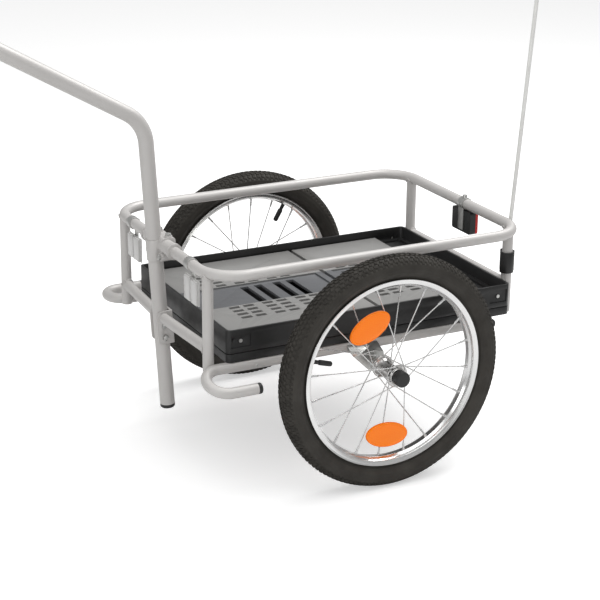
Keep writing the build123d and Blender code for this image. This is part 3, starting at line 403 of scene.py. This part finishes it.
def frames(path, closed=False):
    """Tangent and two across directions at each point, carried along without twist."""
    points = [Vector(p) for p in path]
    result, across = [], None
    for i, point in enumerate(points):
        before = points[i - 1] if i or closed else point
        after = points[(i + 1) % len(points)] if i + 1 < len(points) or closed else point
        tangent = (after - before).normalized()
        if across is None:
            helper = Vector((0, 0, 1)) if abs(tangent.z) < 0.9 else Vector((0, 1, 0))
            across = tangent.cross(helper).normalized()
        across = (across - tangent * across.dot(tangent)).normalized()
        result.append((tangent, across, tangent.cross(across)))
    return points, result


def sweep(path, radius, segments=28, closed=False, caps=True, inward=False):
    """A round bar along a path; radius is one number or one for each point."""
    points, axes = frames(path, closed)
    radii = radius if isinstance(radius, (list, tuple)) else [radius] * len(points)
    verts, rings = [], []
    for point, r, (tangent, u, v) in zip(points, radii, axes):
        ring = []
        for j in range(segments):
            angle = 2 * pi * j / segments
            ring.append(len(verts))
            verts.append(point + (u * cos(angle) + v * sin(angle)) * r)
        rings.append(ring)
    faces = strip(rings, True, closed)
    if caps and not closed:
        faces += [tuple(reversed(rings[0])), tuple(rings[-1])]
    if inward:
        faces = [tuple(reversed(f)) for f in faces]
    return verts, faces


def pipe(path, radius, wall, segments=28):
    """A hollow tube with ring-shaped ends."""
    outer_verts, outer_faces = sweep(path, radius, segments, caps=False)
    inner_verts, inner_faces = sweep(path, radius - wall, segments, caps=False, inward=True)
    base, last = len(outer_verts), len(outer_verts) - segments
    faces = outer_faces + [tuple(base + i for i in f) for f in inner_faces]
    for j in range(segments):
        k = (j + 1) % segments
        faces.append((k, j, base + j, base + k))
        faces.append((last + j, last + k, base + last + k, base + last + j))
    return outer_verts + inner_verts, faces


def rounded(corners, radius, step=5.0, closed=False):
    """The corners joined by straight runs, each bend an arc of the given radius."""
    points = [Vector(c) for c in corners]
    radii = radius if isinstance(radius, (list, tuple)) else [radius] * len(points)
    result = []
    for i, corner in enumerate(points):
        if not closed and i in (0, len(points) - 1):
            result.append(corner)
            continue
        a = (points[i - 1] - corner).normalized()
        b = (points[(i + 1) % len(points)] - corner).normalized()
        turn = pi - a.angle(b)
        r = radii[i]
        if turn < radians(0.5) or r <= 0:
            result.append(corner)
            continue
        reach = r * tan(turn / 2)
        centre = corner + (a + b).normalized() * (r / cos(turn / 2))
        start, end = corner + a * reach - centre, corner + b * reach - centre
        count = max(2, int(math.degrees(turn) / step))
        for k in range(count + 1):
            t = k / count
            result.append(centre + (start * sin((1 - t) * turn) + end * sin(t * turn)) / sin(turn))
    return result


def turned(profile, origin, axis, segments=48, closed=False):
    """A section of (distance along the axis, radius) turned about an axis; radius 0 closes an end."""
    origin, axis = Vector(origin), Vector(axis).normalized()
    helper = Vector((0, 0, 1)) if abs(axis.z) < 0.9 else Vector((1, 0, 0))
    u = axis.cross(helper).normalized()
    v = axis.cross(u)
    verts, rings = [], []
    for along, r in profile:
        ring = []
        if r <= 1e-6:
            ring = [len(verts)] * segments
            verts.append(origin + axis * along)
        else:
            for j in range(segments):
                angle = 2 * pi * j / segments
                ring.append(len(verts))
                verts.append(origin + axis * along + (u * cos(angle) + v * sin(angle)) * r)
        rings.append(ring)
    faces = []
    for face in strip(rings, True, closed):
        unique = tuple(dict.fromkeys(face))
        if len(unique) > 2:
            faces.append(unique)
    if not closed:
        for ring, flip in ((rings[0], True), (rings[-1], False)):
            if len(set(ring)) > 1:
                faces.append(tuple(reversed(ring)) if flip else tuple(ring))
    return verts, faces


def smooth_profile(points, radius, steps):
    """A closed flat outline with each corner rounded."""
    flat = rounded([(a, b, 0.0) for a, b in points], radius, 90.0 / steps, True)
    return [(p.x, p.y) for p in flat]


def brick(low, high, edge):
    """A block with rounded edges all round."""
    (x0, y0, z0), (x1, y1, z1) = low, high
    e = min(edge, (x1 - x0) / 2.2, (y1 - y0) / 2.2, (z1 - z0) / 2.2)
    block = bmesh.new()
    bmesh.ops.create_cube(block, size=1.0)
    for vert in block.verts:
        vert.co = Vector(((x0 + x1) / 2 + vert.co.x * (x1 - x0),
                          (y0 + y1) / 2 + vert.co.y * (y1 - y0),
                          (z0 + z1) / 2 + vert.co.z * (z1 - z0)))
    bmesh.ops.bevel(block, geom=block.edges[:], offset=e, segments=2, profile=0.5, affect="EDGES")
    block.verts.index_update()
    verts = [v.co.copy() for v in block.verts]
    faces = [tuple(v.index for v in f.verts) for f in block.faces]
    block.free()
    return verts, faces


# ---- wheels, built for the left side and carried to the right one
def on_side(sign):
    """Moves a left-wheel point to its place: the right wheel stands turned, then mirrored."""
    if sign > 0:
        return lambda v: v
    c, s = cos(radians(right_wheel_turn)), sin(radians(right_wheel_turn))

    def change(v):
        x, z = v[0], v[2] - tyre_r
        return Vector((x * c - z * s, -v[1], tyre_r + x * s + z * c))
    return change


def wheel_point(angle, radius, across):
    return Vector((radius * cos(angle), wheel_y + across, tyre_r + radius * sin(angle)))


def ring_of(profile, segments=192):
    """A closed section of (distance from the middle plane, radius) turned about the axle."""
    return turned(profile, (0, wheel_y, tyre_r), (0, 1, 0), segments, closed=True)


tread_depth = 2.2
tread_section = ((0.0, 198.0), (9.0, 196.5), (15.5, 193.0), (20.0, 187.5))


def tread_r(across):
    """Outside radius of the tread at a distance from the middle plane."""
    a = abs(across)
    for (a0, r0), (a1, r1) in zip(tread_section, tread_section[1:]):
        if a <= a1:
            return r0 + (r1 - r0) * (a - a0) / (a1 - a0)
    return tread_section[-1][1]


def tyre_casing():
    """The casing with its bead line, sidewall ribs and the floor of the tread."""
    side = [(10.7, 152.5), (11.3, 160.5), (12.6, 163.2), (14.4, 163.6), (15.2, 165.0), (18.6, 167.6),
            (20.6, 171.5), (21.3, 172.0), (21.5, 173.2), (21.6, 177.0), (21.9, 178.0), (21.6, 179.0),
            (21.0, 183.0), (21.2, 184.2), (20.6, 185.6), (19.4, 187.0), (17.6, 188.2), (15.3, 190.6),
            (12.0, 192.9), (8.0, 194.6), (4.0, 195.5), (0.0, 195.8)]
    inner = [(0.0, 192.5), (8.0, 191.0), (13.5, 187.0), (16.5, 185.5), (18.5, 177.5), (15.5, 169.0),
             (8.1, 161.0), (7.7, 152.5)]
    outline = side + [(-a, r) for a, r in reversed(side[:-1])]
    outline += [(-a, r) for a, r in reversed(inner[1:])] + inner
    return Shape().add(*ring_of(list(reversed(outline))))


def tread_block(angle, across, length, width, lean=0.0):
    """One rubber knob: a tapered block whose top follows the tyre's crown."""
    verts = []
    for level, scale in ((-1.6, 1.12), (-0.5, 1.0), (0.0, 0.84)):
        for i, j in ((-1, -1), (1, -1), (1, 1), (-1, 1)):
            a = across + j * width / 2 * scale
            turn = angle + (i * length / 2 * scale + lean * j * width / 2) / tyre_r
            r = tread_r(a) + level * (tread_depth / 1.6 if level < -1 else 1.0)
            verts.append(wheel_point(turn, r, a))
    faces = [(8, 9, 10, 11)]
    for level in (0, 4):
        for j in range(4):
            k = (j + 1) % 4
            faces.append((level + j, level + k, level + 4 + k, level + 4 + j))
    faces.append((3, 2, 1, 0))
    return verts, faces


def tyre_tread():
    """Four rows of knobs on each side of the crown, staggered by half a pitch."""
    count = 132
    half = pi / count
    shape = Shape()
    for i in range(count):
        angle = 2 * pi * i / count
        for sign in (1, -1):
            shape.add(*tread_block(angle + (half if sign > 0 else 0), sign * 3.4, 6.0, 4.6, 0.35))
            shape.add(*tread_block(angle + (0 if sign > 0 else half), sign * 9.6, 5.2, 4.4, -0.3))
            shape.add(*tread_block(angle + half, sign * 15.2, 5.4, 4.4))
            shape.add(*tread_block(angle, sign * 18.9, 4.6, 3.0))
    return shape


def wheel_rim():
    """Polished single-wall rim: rolled flange lips, sloping sides and a shallow spoke bed."""
    outer = [(rim_half_width + 1.2, rim_r - 1.0), (rim_half_width, rim_r),
             (rim_half_width - 1.6, rim_r - 2.5), (rim_half_width - 3.1, rim_r - 8.0), (7.0, rim_bed_r + 4.5),
             (4.0, rim_bed_r + 1.6)]
    inner = [(4.6, rim_bed_r), (8.2, rim_bed_r + 3.2), (rim_half_width - 1.4, rim_r - 8.5),
             (rim_half_width, rim_r - 3.0)]
    outline = outer + [(-a, r) for a, r in reversed(outer)] + [(-a, r) for a, r in reversed(inner)] + inner
    return Shape().add(*ring_of(smooth_profile(outline, 0.6, 3)))


def spoke_line(index):
    """The corners of a spoke: its head, its elbow at the hub flange and its end in the rim."""
    angle = radians(spoke_phase + index * 360.0 / spoke_count)
    side = 1 if index % 2 == 0 else -1
    leads = 1 if (index // 2) % 2 == 0 else -1
    hub_angle = angle + leads * radians(spoke_lacing)
    face = flange_offset + leads * (flange_thickness / 2 + spoke_r)
    back = flange_offset - leads * (flange_thickness / 2 + 1.1)
    return (wheel_point(hub_angle, flange_hole_r, side * back),
            wheel_point(hub_angle, flange_hole_r, side * face),
            wheel_point(angle, rim_bed_r + 0.5, side * 1.5))


def wheel_spokes():
    """Steel spokes with rounded heads, elbows and nipples at the rim."""
    shape = Shape()
    for index in range(spoke_count):
        head, elbow, end = spoke_line(index)
        out = (elbow - head).normalized()
        line = rounded([head, elbow, end], 1.6, 18.0)
        path = [head, head + out * 0.4, head + out * 0.9] + line[1:-1]
        radii = [1.0, 1.9, 1.9] + [spoke_r] * (len(line) - 2)
        along = (end - elbow).normalized()
        for back, r in ((14.2, spoke_r), (13.6, 1.5), (13.0, 1.75), (2.4, 1.75),
                        (2.2, 2.4), (0.8, 2.5), (0.0, 2.2)):
            path.append(end - along * back)
            radii.append(r)
        shape.add(*sweep(path, radii, 12))
    return shape


def wheel_hub():
    """Turned hub shell: flanges with soft edges, a waist, end shoulders and a through bore."""
    half = [(0.0, 12.2), (10.0, 12.4), (17.0, 13.5), (flange_offset - 3.2, 15.0), (flange_offset - 1.5, 16.5),
            (flange_offset - 1.5, flange_r - 0.8), (flange_offset - 0.7, flange_r),
            (flange_offset + 0.7, flange_r), (flange_offset + 1.5, flange_r - 0.8),
            (flange_offset + 1.5, hub_body_r + 0.6), (flange_offset + 2.1, hub_body_r),
            (hub_end - 0.8, hub_body_r), (hub_end, hub_body_r - 0.8), (hub_end, hub_body_r - 2.6),
            (hub_end - bearing_width + 0.5, hub_body_r - 2.6), (hub_end - bearing_width, axle_r + 2.6)]
    outline = list(reversed([(-a, r) for a, r in half[1:]])) + half
    return Shape().add(*turned(list(reversed(outline)), (0, wheel_y, tyre_r), (0, 1, 0), 64, closed=True))


def wheel_bearings():
    """Bearing races with a shield groove, one in each end of the hub."""
    shape = Shape()
    for sign in (1, -1):
        outline = [(hub_end - bearing_width + 0.3, 6.2), (hub_end - 0.6, 6.2), (hub_end - 0.2, 7.0),
                   (hub_end - 0.2, 7.8), (hub_end - 0.9, 8.2), (hub_end - 0.9, 9.4), (hub_end - 0.2, 9.8),
                   (hub_end - 0.2, 10.7), (hub_end - bearing_width + 0.3, 10.7)]
        outline = [(sign * a, r) for a, r in outline]
        if sign > 0:
            outline.reverse()
        shape.add(*turned(outline, (0, wheel_y, tyre_r), (0, 1, 0), 48, closed=True))
    return shape


def wheel_valve():
    """A rubber-covered valve with a ribbed cap, pointing at the hub."""
    angle = radians(valve_angle)
    start = wheel_point(angle, rim_bed_r + 8.0, 0)
    inward = (wheel_point(angle, 0, 0) - start).normalized()
    stem = [(0.0, 0.0), (0.0, 3.9), (8.0, 3.9), (9.5, 3.5), (18.0, 3.3), (18.5, 3.0),
            (20.0, 3.0), (20.0, 0.0)]
    shape = Shape().add(*turned(stem, start, inward, 24))
    cap_profile = [(19.0, 0.0), (19.0, 3.9), (19.5, 4.5), (40.5, 4.3), (42.2, 3.4), (43.0, 1.8), (43.0, 0.0)]
    verts, faces = turned(cap_profile, start, inward, 32)
    for i, vert in enumerate(verts):
        along = (vert - start).dot(inward)
        radial = vert - start - inward * along
        if 20 > along > 19.2 or 41 > along > 30:
            if radial.length > 4 and i % 2:
                verts[i] = vert - radial.normalized() * 0.3
    return shape.add(verts, faces)


reflector_places = {1: ((-84.5, 105.0), (62.0, 97.0)), -1: ((-158.8, 105.0), (96.2, 97.0))}


def oval_rings(levels, half_length, half_height, angle, radius, segments=64):
    """Stacked ovals, given as (distance from the middle plane, inset), closed at both ends."""
    turn = radians(angle)
    radial, along = Vector((cos(turn), 0, sin(turn))), Vector((-sin(turn), 0, cos(turn)))
    centre = Vector((0, wheel_y, tyre_r)) + radial * radius
    verts, rings = [], []
    for across, inset in levels:
        ring = []
        for j in range(segments):
            t = 2 * pi * j / segments
            ring.append(len(verts))
            verts.append(centre + along * (half_length - inset) * cos(t)
                         + radial * (half_height - inset) * sin(t) + Vector((0, across, 0)))
        rings.append(ring)
    faces = strip(rings) + [tuple(reversed(rings[0])), tuple(rings[-1])]
    return verts, faces


def spoke_reflector_bodies(sign):
    """Moulded oval reflectors: a rounded border round a slightly domed, prism-backed lens."""
    levels = [(9.0, 1.2), (9.5, 0.3), (10.2, 0.0), (14.2, 0.0), (15.3, 0.5), (15.9, 1.4), (16.0, 2.4),
              (15.9, 3.4), (15.2, 4.0), (15.2, 4.6), (15.5, 7.0), (15.8, 11.0), (15.9, 16.0), (16.0, 19.5)]
    shape = Shape()
    for angle, radius in reflector_places[sign]:
        shape.add(*oval_rings(levels, reflector_half_length, reflector_half_height, angle, radius))
    return shape


def reflector_clips(sign):
    """The two tabs at the long ends of each reflector, snapped over a spoke."""
    shape = Shape()
    for angle, radius in reflector_places[sign]:
        turn = radians(angle)
        radial, along = Vector((cos(turn), 0, sin(turn))), Vector((-sin(turn), 0, cos(turn)))
        centre = Vector((0, wheel_y + 12.0, tyre_r)) + radial * radius
        for end in (1, -1):
            middle = centre + along * end * 35.5
            path = [middle - radial * 4.5, middle - radial * 1.5 + along * end * 0.6,
                    middle + radial * 1.5 + along * end * 0.6, middle + radial * 4.5]
            shape.add(*sweep(path, [1.4, 1.9, 1.9, 1.4], 12))
    return shape


named_sides = (("left", 1), ("right", -1))
for side_name, side in named_sides:
    carry = on_side(side)
    wheel_body = "wheel_" + side_name
    for name, shape, material, slot, replaced, sharp in (
            ("tyre_casing_", tyre_casing(), tyre_rubber, "tyre_rubber", "tyre_", 50),
            ("tyre_tread_", tyre_tread(), tread_rubber, "tyre_rubber", None, 25),
            ("rim_shell_", wheel_rim(), chrome_rim, "chrome_rim", "rim_", 40),
            ("spoke_set_", wheel_spokes(), spoke_steel, "zinc_steel", "spokes_", 50),
            ("hub_shell_", wheel_hub(), hub_alloy, "hub_alloy", "hub_", 35),
            ("bearing_set_", wheel_bearings(), zinc_steel, "zinc_steel", "hub_bearings_", 35),
            ("valve_and_cap_", wheel_valve(), black_plastic, "black_plastic", "valve_", 35),
            ("spoke_reflector_pair_", spoke_reflector_bodies(side), orange_plastic,
             "orange_plastic", "spoke_reflectors_", 35),
            ("reflector_clips_", reflector_clips(side), orange_plastic, "orange_plastic", None, 40)):
        put(name + side_name, shape.moved(carry), material, wheel_body,
            (replaced + side_name,) if replaced else (), sharp)


# ---- frame tubes
def rail_x(y, front):
    end = rail_front_x if front else rail_rear_x
    into_bend = abs(y) - (rail_y - rail_bend_r)
    drop = rail_bend_r - sqrt(rail_bend_r**2 - into_bend**2) if into_bend > 0 else 0.0
    return end - drop if front else end + drop


def drawbar_x(z):
    return foot_x + (z - foot_z) * tan(radians(drawbar_lean))


def runner_line(sign):
    """The open end of the hook, round its bend and back to the rear, in the hook's tilted plane."""
    tilt = radians(hook_tilts[sign])
    flat = [(hook_end_x, 2 * hook_bend_r), (runner_bend_x + hook_bend_r, 2 * hook_bend_r),
            (runner_bend_x + hook_bend_r, 0.0), (rear_member_x, 0.0)]
    corners = [(x, sign * (runner_y + a * cos(tilt)), runner_z + a * sin(tilt)) for x, a in flat]
    return rounded(corners, hook_bend_r - 0.01, 5.0)


front_post_x, rear_post_x = rail_x(front_post_y, True), rail_x(rear_post_y, False)
sides = (1, -1)
tube_lines = {
    "top_rail_tube": (("top_rail",), [rounded(
        [(rail_front_x, rail_end_y, rail_z), (rail_front_x, rail_y, rail_z), (rail_rear_x, rail_y, rail_z),
         (rail_rear_x, -rail_y, rail_z), (rail_front_x, -rail_y, rail_z),
         (rail_front_x, -rail_end_y, rail_z)],
        rail_bend_r, 4.0)]),
    "front_post_pair": (("front_posts",), [
        [(front_post_x, s * front_post_y, front_post_foot_z),
         (front_post_x, s * front_post_y, rail_z - post_seat)] for s in sides]),
    "rear_post_pair": (("rear_posts",), [
        [(rear_post_x, s * rear_post_y, rear_post_foot_z),
         (rear_post_x, s * rear_post_y, rail_z - post_seat)] for s in sides]),
    "front_cross_tubes": (("front_cross_rail",), [
        [(drawbar_x(front_cross_z), s * cross_tube_inner_y, front_cross_z),
         (front_post_x, s * (front_post_y - 1), front_cross_z)]
        for s in sides]),
    "rear_cross_tube": (("rear_cross_rail",), [
        [(rear_post_x, -rear_post_y + 1, rear_cross_z), (rear_post_x, rear_post_y - 1, rear_cross_z)]]),
    "runner_tube_left": (("runner_left",), [runner_line(1)]),
    "runner_tube_right": (("runner_right",), [runner_line(-1)]),
    "cross_member_tubes": (("cross_member_front", "cross_member_middle"), [
        [(x, -runner_y + 1, runner_z), (x, runner_y - 1, runner_z)] for x in (front_member_x, 0.0)]),
    "rear_member_tube": (("cross_member_rear",), [
        [(rear_member_x, -runner_y - tube_r, runner_z), (rear_member_x, runner_y + tube_r, runner_z)]]),
}
for name, (replaced, lines) in tube_lines.items():
    shape = Shape()
    for line in lines:
        shape.add(*pipe(line, tube_r, tube_wall))
    put(name, shape, silver_paint, "frame", replaced, 50)

bend_x = drawbar_x(drawbar_bend_z)
climb_x = bend_x + (drawbar_top_z - drawbar_bend_z) / tan(radians(drawbar_climb))
drawbar_line = rounded([(foot_x, 0, foot_z), (bend_x, 0, drawbar_bend_z), (climb_x, 0, drawbar_top_z),
                        (drawbar_end_x, 0, drawbar_top_z)],
                       [0, drawbar_bend_r, drawbar_top_bend_r, 0], 2.5)
put("drawbar_bent_tube", Shape().add(*pipe(drawbar_line, drawbar_r, drawbar_wall, 40)), silver_paint, "frame",
    ("drawbar_tube",), 50)


def weld(seat, along_b, outward, radius_b, radius_a, bead=1.5):
    """A rippled bead where tube A leaves tube B; seat is on B's axis and outward points along A."""
    seat, b, a = Vector(seat), Vector(along_b).normalized(), Vector(outward).normalized()
    c = a.cross(b).normalized()
    path, radii = [], []
    count = 72
    for i in range(count):
        t = 2 * pi * i / count
        side_shift = min(abs(sin(t)) * radius_a, radius_b * 0.985)
        height = sqrt(radius_b**2 - side_shift**2)
        reach = radius_a + bead * 0.35
        path.append(seat + b * cos(t) * reach + c * sin(t) * reach + a * (height + bead * 0.3))
        radii.append(bead * (1.0 + 0.16 * sin(18 * t)) * (0.92 + 0.16 * random.random()))
    return sweep(path, radii, 8, closed=True)


welds = Shape()
up, left, ahead = Vector((0, 0, 1)), Vector((0, 1, 0)), Vector((1, 0, 0))
for s in sides:
    for post_x, post_y, end in ((front_post_x, front_post_y, -1), (rear_post_x, rear_post_y, 1)):
        rail_turn = math.asin((post_y - rail_y + rail_bend_r) / rail_bend_r)
        welds.add(*weld((post_x, s * post_y, rail_z), (end * sin(rail_turn), s * cos(rail_turn), 0),
                        -up, tube_r, tube_r))
    welds.add(*weld((front_post_x, s * front_post_y, front_cross_z), up, -left * s, tube_r, tube_r))
    welds.add(*weld((rear_post_x, s * rear_post_y, rear_cross_z), up, -left * s, tube_r, tube_r))
    for x in (front_member_x, 0.0, rear_member_x):
        welds.add(*weld((x, s * runner_y, runner_z), ahead, -left * s, tube_r, tube_r))
put("weld_beads", welds, weld_paint, "frame", (), 60)


# ---- reflectors, flag and small fittings
front_plate_x, front_reflector_y, front_reflector_half = 278.5, 121.0, 26.0
front_reflector_low, front_reflector_top = 312.0, 354.0
for side_name, side in named_sides:
    y = side * front_reflector_y
    shape = Shape().add(*brick((front_plate_x, y - front_reflector_half, front_reflector_low),
                               (front_plate_x + 3.0, y + front_reflector_half, front_reflector_top), 1.0))
    for a, b in ((-front_reflector_half + 1.0, -1.2), (1.2, front_reflector_half - 1.0)):
        shape.add(*brick((front_plate_x + 2.0, y + a, front_reflector_low + 1.0),
                         (front_plate_x + 7.0, y + b, front_reflector_top - 1.0), 2.0))
    put("front_reflector_lens_" + side_name, shape, white_reflector, "frame",
        ("front_reflector_" + side_name,), 30)

flag_line_x, flag_y, flag_lean, flag_rod_r = -303.0, 143.0, 4.4, 3.5
flag_top_z, flag_bottom_z, pennant_height = 1205.0, 296.0, 150.0


def flag_point(z):
    return Vector((flag_line_x - (z - rail_z) * tan(radians(flag_lean)), flag_y, z))


rod_profile = [(0.0, 0.0), (0.0, flag_rod_r), (902.0, flag_rod_r), (907.5, flag_rod_r - 0.3),
               (910.0, flag_rod_r - 1.4), (911.0, 0.0)]
rod_line = (flag_point(flag_top_z) - flag_point(flag_bottom_z)).normalized()
put("flag_rod_white", Shape().add(*turned(rod_profile, flag_point(flag_bottom_z), rod_line, 24)),
    white_fibreglass, "frame", ("flag_rod",), 50)

pennant_top, pennant_low = flag_top_z - 6.0, flag_top_z - 6.0 - pennant_height
pennant_middle = (pennant_low + pennant_top) / 2
hem = Shape().add(*pipe([flag_point(z) for z in (pennant_low, pennant_middle, pennant_top)],
                        flag_rod_r + 1.1, 1.0, 24))
hem_piece = put("pennant_hem", hem, pennant_cloth, "frame", (), 50)
cloth = Shape()
columns, rows = 48, 24
root_gap = 3.9         # from the rod's line to the edge of the cloth
pennant_reach = 195.0  # the 200 mm cut, less what its waves take up
wave, ripple, tip_sag = 9.0, 2.2, 5.0
tip_x = flag_point(pennant_middle).x - root_gap - pennant_reach
for i in range(columns + 1):
    u = i / columns
    for j in range(rows + 1):
        w = j / rows
        root = flag_point(pennant_low + w * pennant_height)
        x = root.x - root_gap + (tip_x - root.x + root_gap) * u
        z = root.z + (pennant_middle - root.z) * u - tip_sag * u * u
        fold = wave * u * sin(5.2 * u + 0.5 * w) + ripple * u * sin(11.0 * u - 2.4 * w)
        cloth.verts.append(Vector((x, flag_y + fold, z)))
size = rows + 1
for i in range(columns):
    for j in range(rows):
        a, b = i * size + j, (i + 1) * size + j
        cloth.faces.append((a, b, b + 1, a + 1))
pennant_piece = put("pennant_flag", cloth, pennant_cloth, "frame", ("pennant",), 80)
pennant_thick = pennant_piece.modifiers.new("thickness", "SOLIDIFY")
pennant_thick.thickness = 0.0005

screw_x, post_hole_z = 202.0, 322.0
screws, hole_shade_discs = Shape(), Shape()
for s in sides:
    screws.add(*turned([(0.0, 0.0), (0.0, 2.8), (1.2, 2.8), (2.0, 2.0), (2.3, 1.0), (2.3, 0.0)],
                       (screw_x, s * (runner_y + tube_r - 0.6), runner_z - 1.0), (0, s, 0), 24))
    # The hole in each rear post is drawn as a thin black disc on the post's face: painted shade for the dark
    # inside of the hole.
    hole_shade_discs.add(*turned([(0.0, 0.0), (0.0, 2.6), (0.7, 2.6), (0.7, 0.0)],
                      (rear_post_x, s * (rear_post_y + tube_r - 0.6), post_hole_z), (0, s, 0), 20))
put("runner_screws", screws, zinc_steel, "frame", (), 35)
put("post_hole_painted_shade", hole_shade_discs, black_plastic, "frame", (), 35)


# ---- CAD nodes that stay take their finish from the record's slots, and get soft edges
moulded = {"crate_base": 0.9, "crate_upper": 0.9, "crate_front_panel": 0.5, "crate_rear_panel": 0.5,
           "crate_side_leaf_left": 0.8, "crate_side_leaf_right": 0.8, "axle_carrier_left": 0.6,
           "axle_carrier_right": 0.6, "lower_bracket": 0.7, "rail_joint": 1.2, "swivel_fork": 1.0,
           "coupling_head": 1.2, "coupling_socket": 0.8, "rear_straps": 0.6, "flag_holder": 0.8,
           "bracket_bolts": 0.4, "rail_joint_screws": 0.4, "tube_end_caps": 0.6, "pitch_pin": 0.4,
           "rear_reflector_clamp": 0.3, "front_reflector_brackets": 0.3}
for part in frame["record"]["subparts"]:
    node = nodes[part["node"]]
    data = node.data
    data.materials.clear()
    data.materials.append(slot_materials[part["material_slot"]])
    for polygon in data.polygons:
        polygon.use_smooth = True
    data.set_sharp_from_angle(angle=radians(35))
    if part["node"] in moulded:
        weld_up = node.modifiers.new("join", "WELD")
        weld_up.merge_threshold = 0.00002
        flat = node.modifiers.new("flats", "DECIMATE")
        flat.decimate_type, flat.angle_limit = "DISSOLVE", radians(1.0)
        edges = node.modifiers.new("edges", "BEVEL")
        edges.width, edges.segments = moulded[part["node"]] * mm, 2
        edges.limit_method, edges.angle_limit = "ANGLE", radians(38)
        edges.harden_normals = True
nodes["crate_hinge_pins"].data.materials[0] = black_plastic
nodes["release_cap_left"].data.materials[0] = black_plastic
nodes["release_cap_right"].data.materials[0] = black_plastic
